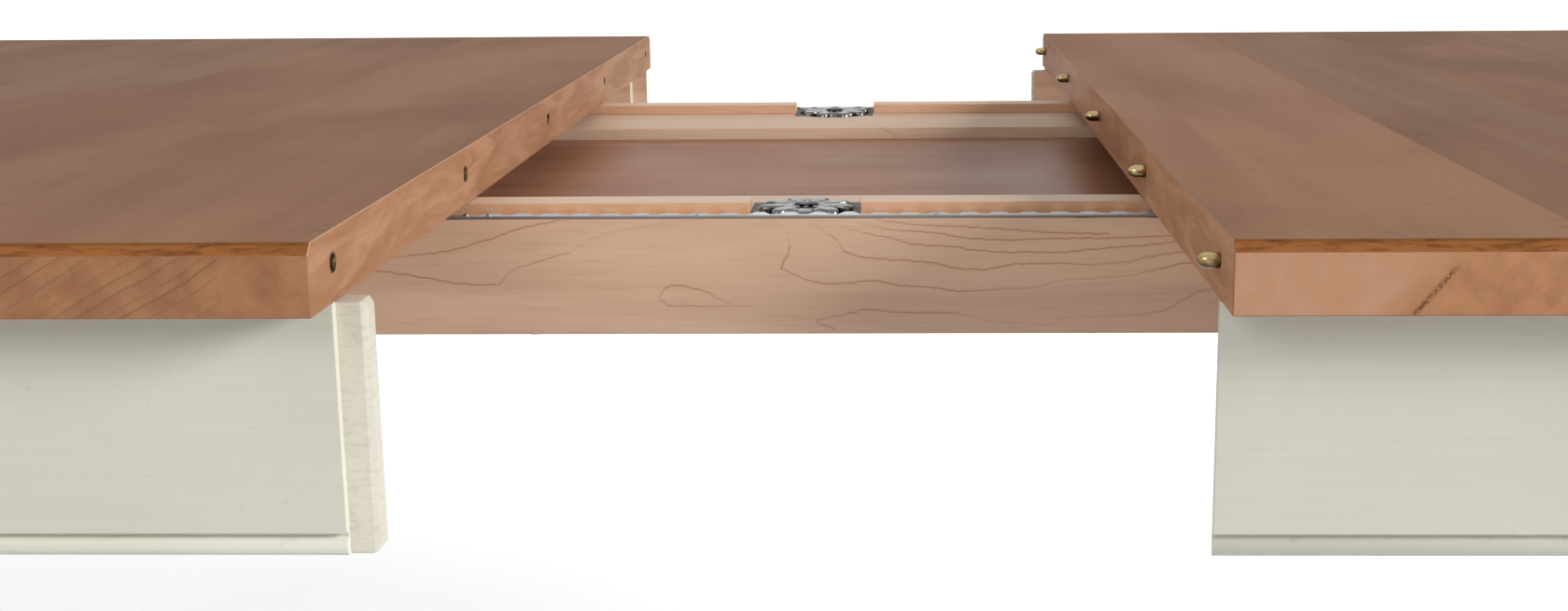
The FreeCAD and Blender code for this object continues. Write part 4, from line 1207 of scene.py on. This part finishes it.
def white_for_sight(tree, base_shader):
    """White where the camera, gloss or glass looks, added to a floor that takes shadow near the table."""
    far = add(tree, "ShaderNodeVectorMath", {0: place_of(tree)}, operation="LENGTH").outputs["Value"]
    strength = calc(tree, "MULTIPLY", seen_directly(tree), span(tree, far, *GLOW_REACH, *GLOW_STRENGTH))
    glow = add(tree, "ShaderNodeEmission", {"Color": WHITE, "Strength": strength})
    return add(tree, "ShaderNodeAddShader", {0: base_shader, 1: glow.outputs[0]}).outputs[0]


class LEAFTABLE_OT_stage(bpy.types.Operator):
    """Make the pale floor, the soft light and the camera"""

    bl_idname = "leaf_table.stage"
    bl_label = "Stage"

    # Place, target and size of each lamp, in metres
    KEY = ((7.98, -3.06, 3.77), (0.0, -0.3, 0.7), (2.5, 2.2))
    FILL = ((-1.2, -2.2, 1.9), (0.0, -0.3, 0.7), (1.6, 1.0))
    REAR = ((-3.0, 6.0, 0.5), (0.0, 0.3, 0.5), (2.4, 0.8))
    SENSOR_WIDTH = 36.0

    def floor(self, stage):
        """A square floor under the feet."""
        mesh = bpy.data.meshes.new("floor")
        half = stage.floor_size / 2
        corners = [(-half, -half, 0), (half, -half, 0), (half, half, 0), (-half, half, 0)]
        mesh.from_pydata(corners, [], [(0, 1, 2, 3)])
        floor = bpy.data.objects.new("floor", mesh)
        bpy.context.collection.objects.link(floor)
        material, tree, shader = clear_material("pale_floor")
        shader.inputs["Base Color"].default_value = FLOOR_GREY
        shader.inputs["Roughness"].default_value = 0.9
        output = next(node for node in tree.nodes if node.type == "OUTPUT_MATERIAL")
        tree.links.new(white_for_sight(tree, shader.outputs[0]), output.inputs["Surface"])
        mesh.materials.append(material)

    def world(self, stage):
        """Even light all round, plain white where it is seen."""
        world = bpy.data.worlds.new("white_room")
        world.use_nodes = True
        tree = world.node_tree
        tree.nodes.clear()
        sky = add(tree, "ShaderNodeBackground", {"Color": WHITE, "Strength": stage.sky})
        white = add(tree, "ShaderNodeBackground", {"Color": WHITE, "Strength": 1.0})
        mixed = add(tree, "ShaderNodeMixShader",
                    {0: seen_directly(tree), 1: sky.outputs[0], 2: white.outputs[0]})
        output = add(tree, "ShaderNodeOutputWorld", {"Surface": mixed.outputs[0]})
        output.is_active_output = True
        bpy.context.scene.world = world

    def camera(self, stage):
        """A camera at the photograph's place and angle."""
        lens = bpy.data.cameras.new("photo_camera")
        lens.sensor_width = self.SENSOR_WIDTH
        lens.sensor_fit = "HORIZONTAL"
        lens.lens = stage.camera_lens
        lens.shift_x, lens.shift_y = stage.camera_shift
        lens.dof.use_dof = False
        camera = bpy.data.objects.new("photo_camera", lens)
        pitch, yaw, roll = stage.camera_pitch, stage.camera_yaw, stage.camera_roll
        ahead = Vector((math.sin(yaw) * math.cos(pitch), math.cos(yaw) * math.cos(pitch), -math.sin(pitch)))
        right = Vector((math.cos(yaw), -math.sin(yaw), 0.0))
        up = right.cross(ahead)
        leaned_right = right * math.cos(roll) + up * math.sin(roll)
        leaned_up = up * math.cos(roll) - right * math.sin(roll)
        turn = Matrix((leaned_right, leaned_up, -ahead)).transposed()
        camera.matrix_world = Matrix.Translation(stage.camera_place) @ turn.to_4x4()
        bpy.context.collection.objects.link(camera)
        bpy.context.scene.camera = camera

    def execute(self, context):
        stage = context.scene.leaf_table_stage
        context.scene.view_settings.view_transform = "Standard"
        self.floor(stage)
        self.world(stage)
        area_lamp("key_lamp", *self.KEY, stage.key_power)
        area_lamp("fill_lamp", *self.FILL, stage.fill_power)
        area_lamp("rear_lamp", *self.REAR, stage.rear_power, in_gloss=False)
        self.camera(stage)
        return {"FINISHED"}


class LEAFTABLE_PT_panel(bpy.types.Panel):
    """Sidebar list of the table's steps and settings"""

    bl_idname = "LEAFTABLE_PT_panel"
    bl_label = "Leaf Table"
    bl_space_type = "VIEW_3D"
    bl_region_type = "UI"
    bl_category = "Leaf Table"

    def draw(self, context):
        for step in STEPS:
            self.layout.operator(step.bl_idname)
        for group in (context.scene.leaf_table_finishes, context.scene.leaf_table_stage):
            for name in group.__annotations__:
                self.layout.prop(group, name)


STEPS = (
    LEAFTABLE_OT_tops,
    LEAFTABLE_OT_aprons,
    LEAFTABLE_OT_slides,
    LEAFTABLE_OT_leaf,
    LEAFTABLE_OT_gears,
    LEAFTABLE_OT_racks,
    LEAFTABLE_OT_pins,
    LEAFTABLE_OT_hardware,
    LEAFTABLE_OT_stage,
)
CLASSES = (LeafTableFinishes, LeafTableStage, *STEPS, LEAFTABLE_PT_panel)


def register():
    for item in CLASSES:
        bpy.utils.register_class(item)
    bpy.types.Scene.leaf_table_finishes = PointerProperty(type=LeafTableFinishes)
    bpy.types.Scene.leaf_table_stage = PointerProperty(type=LeafTableStage)


def unregister():
    del bpy.types.Scene.leaf_table_stage
    del bpy.types.Scene.leaf_table_finishes
    for item in reversed(CLASSES):
        bpy.utils.unregister_class(item)


def main():
    """Register the classes and run the steps in order."""
    register()
    for step in STEPS:
        group, name = step.bl_idname.split(".")
        getattr(getattr(bpy.ops, group), name)()


if __name__ == "__main__":
    main()
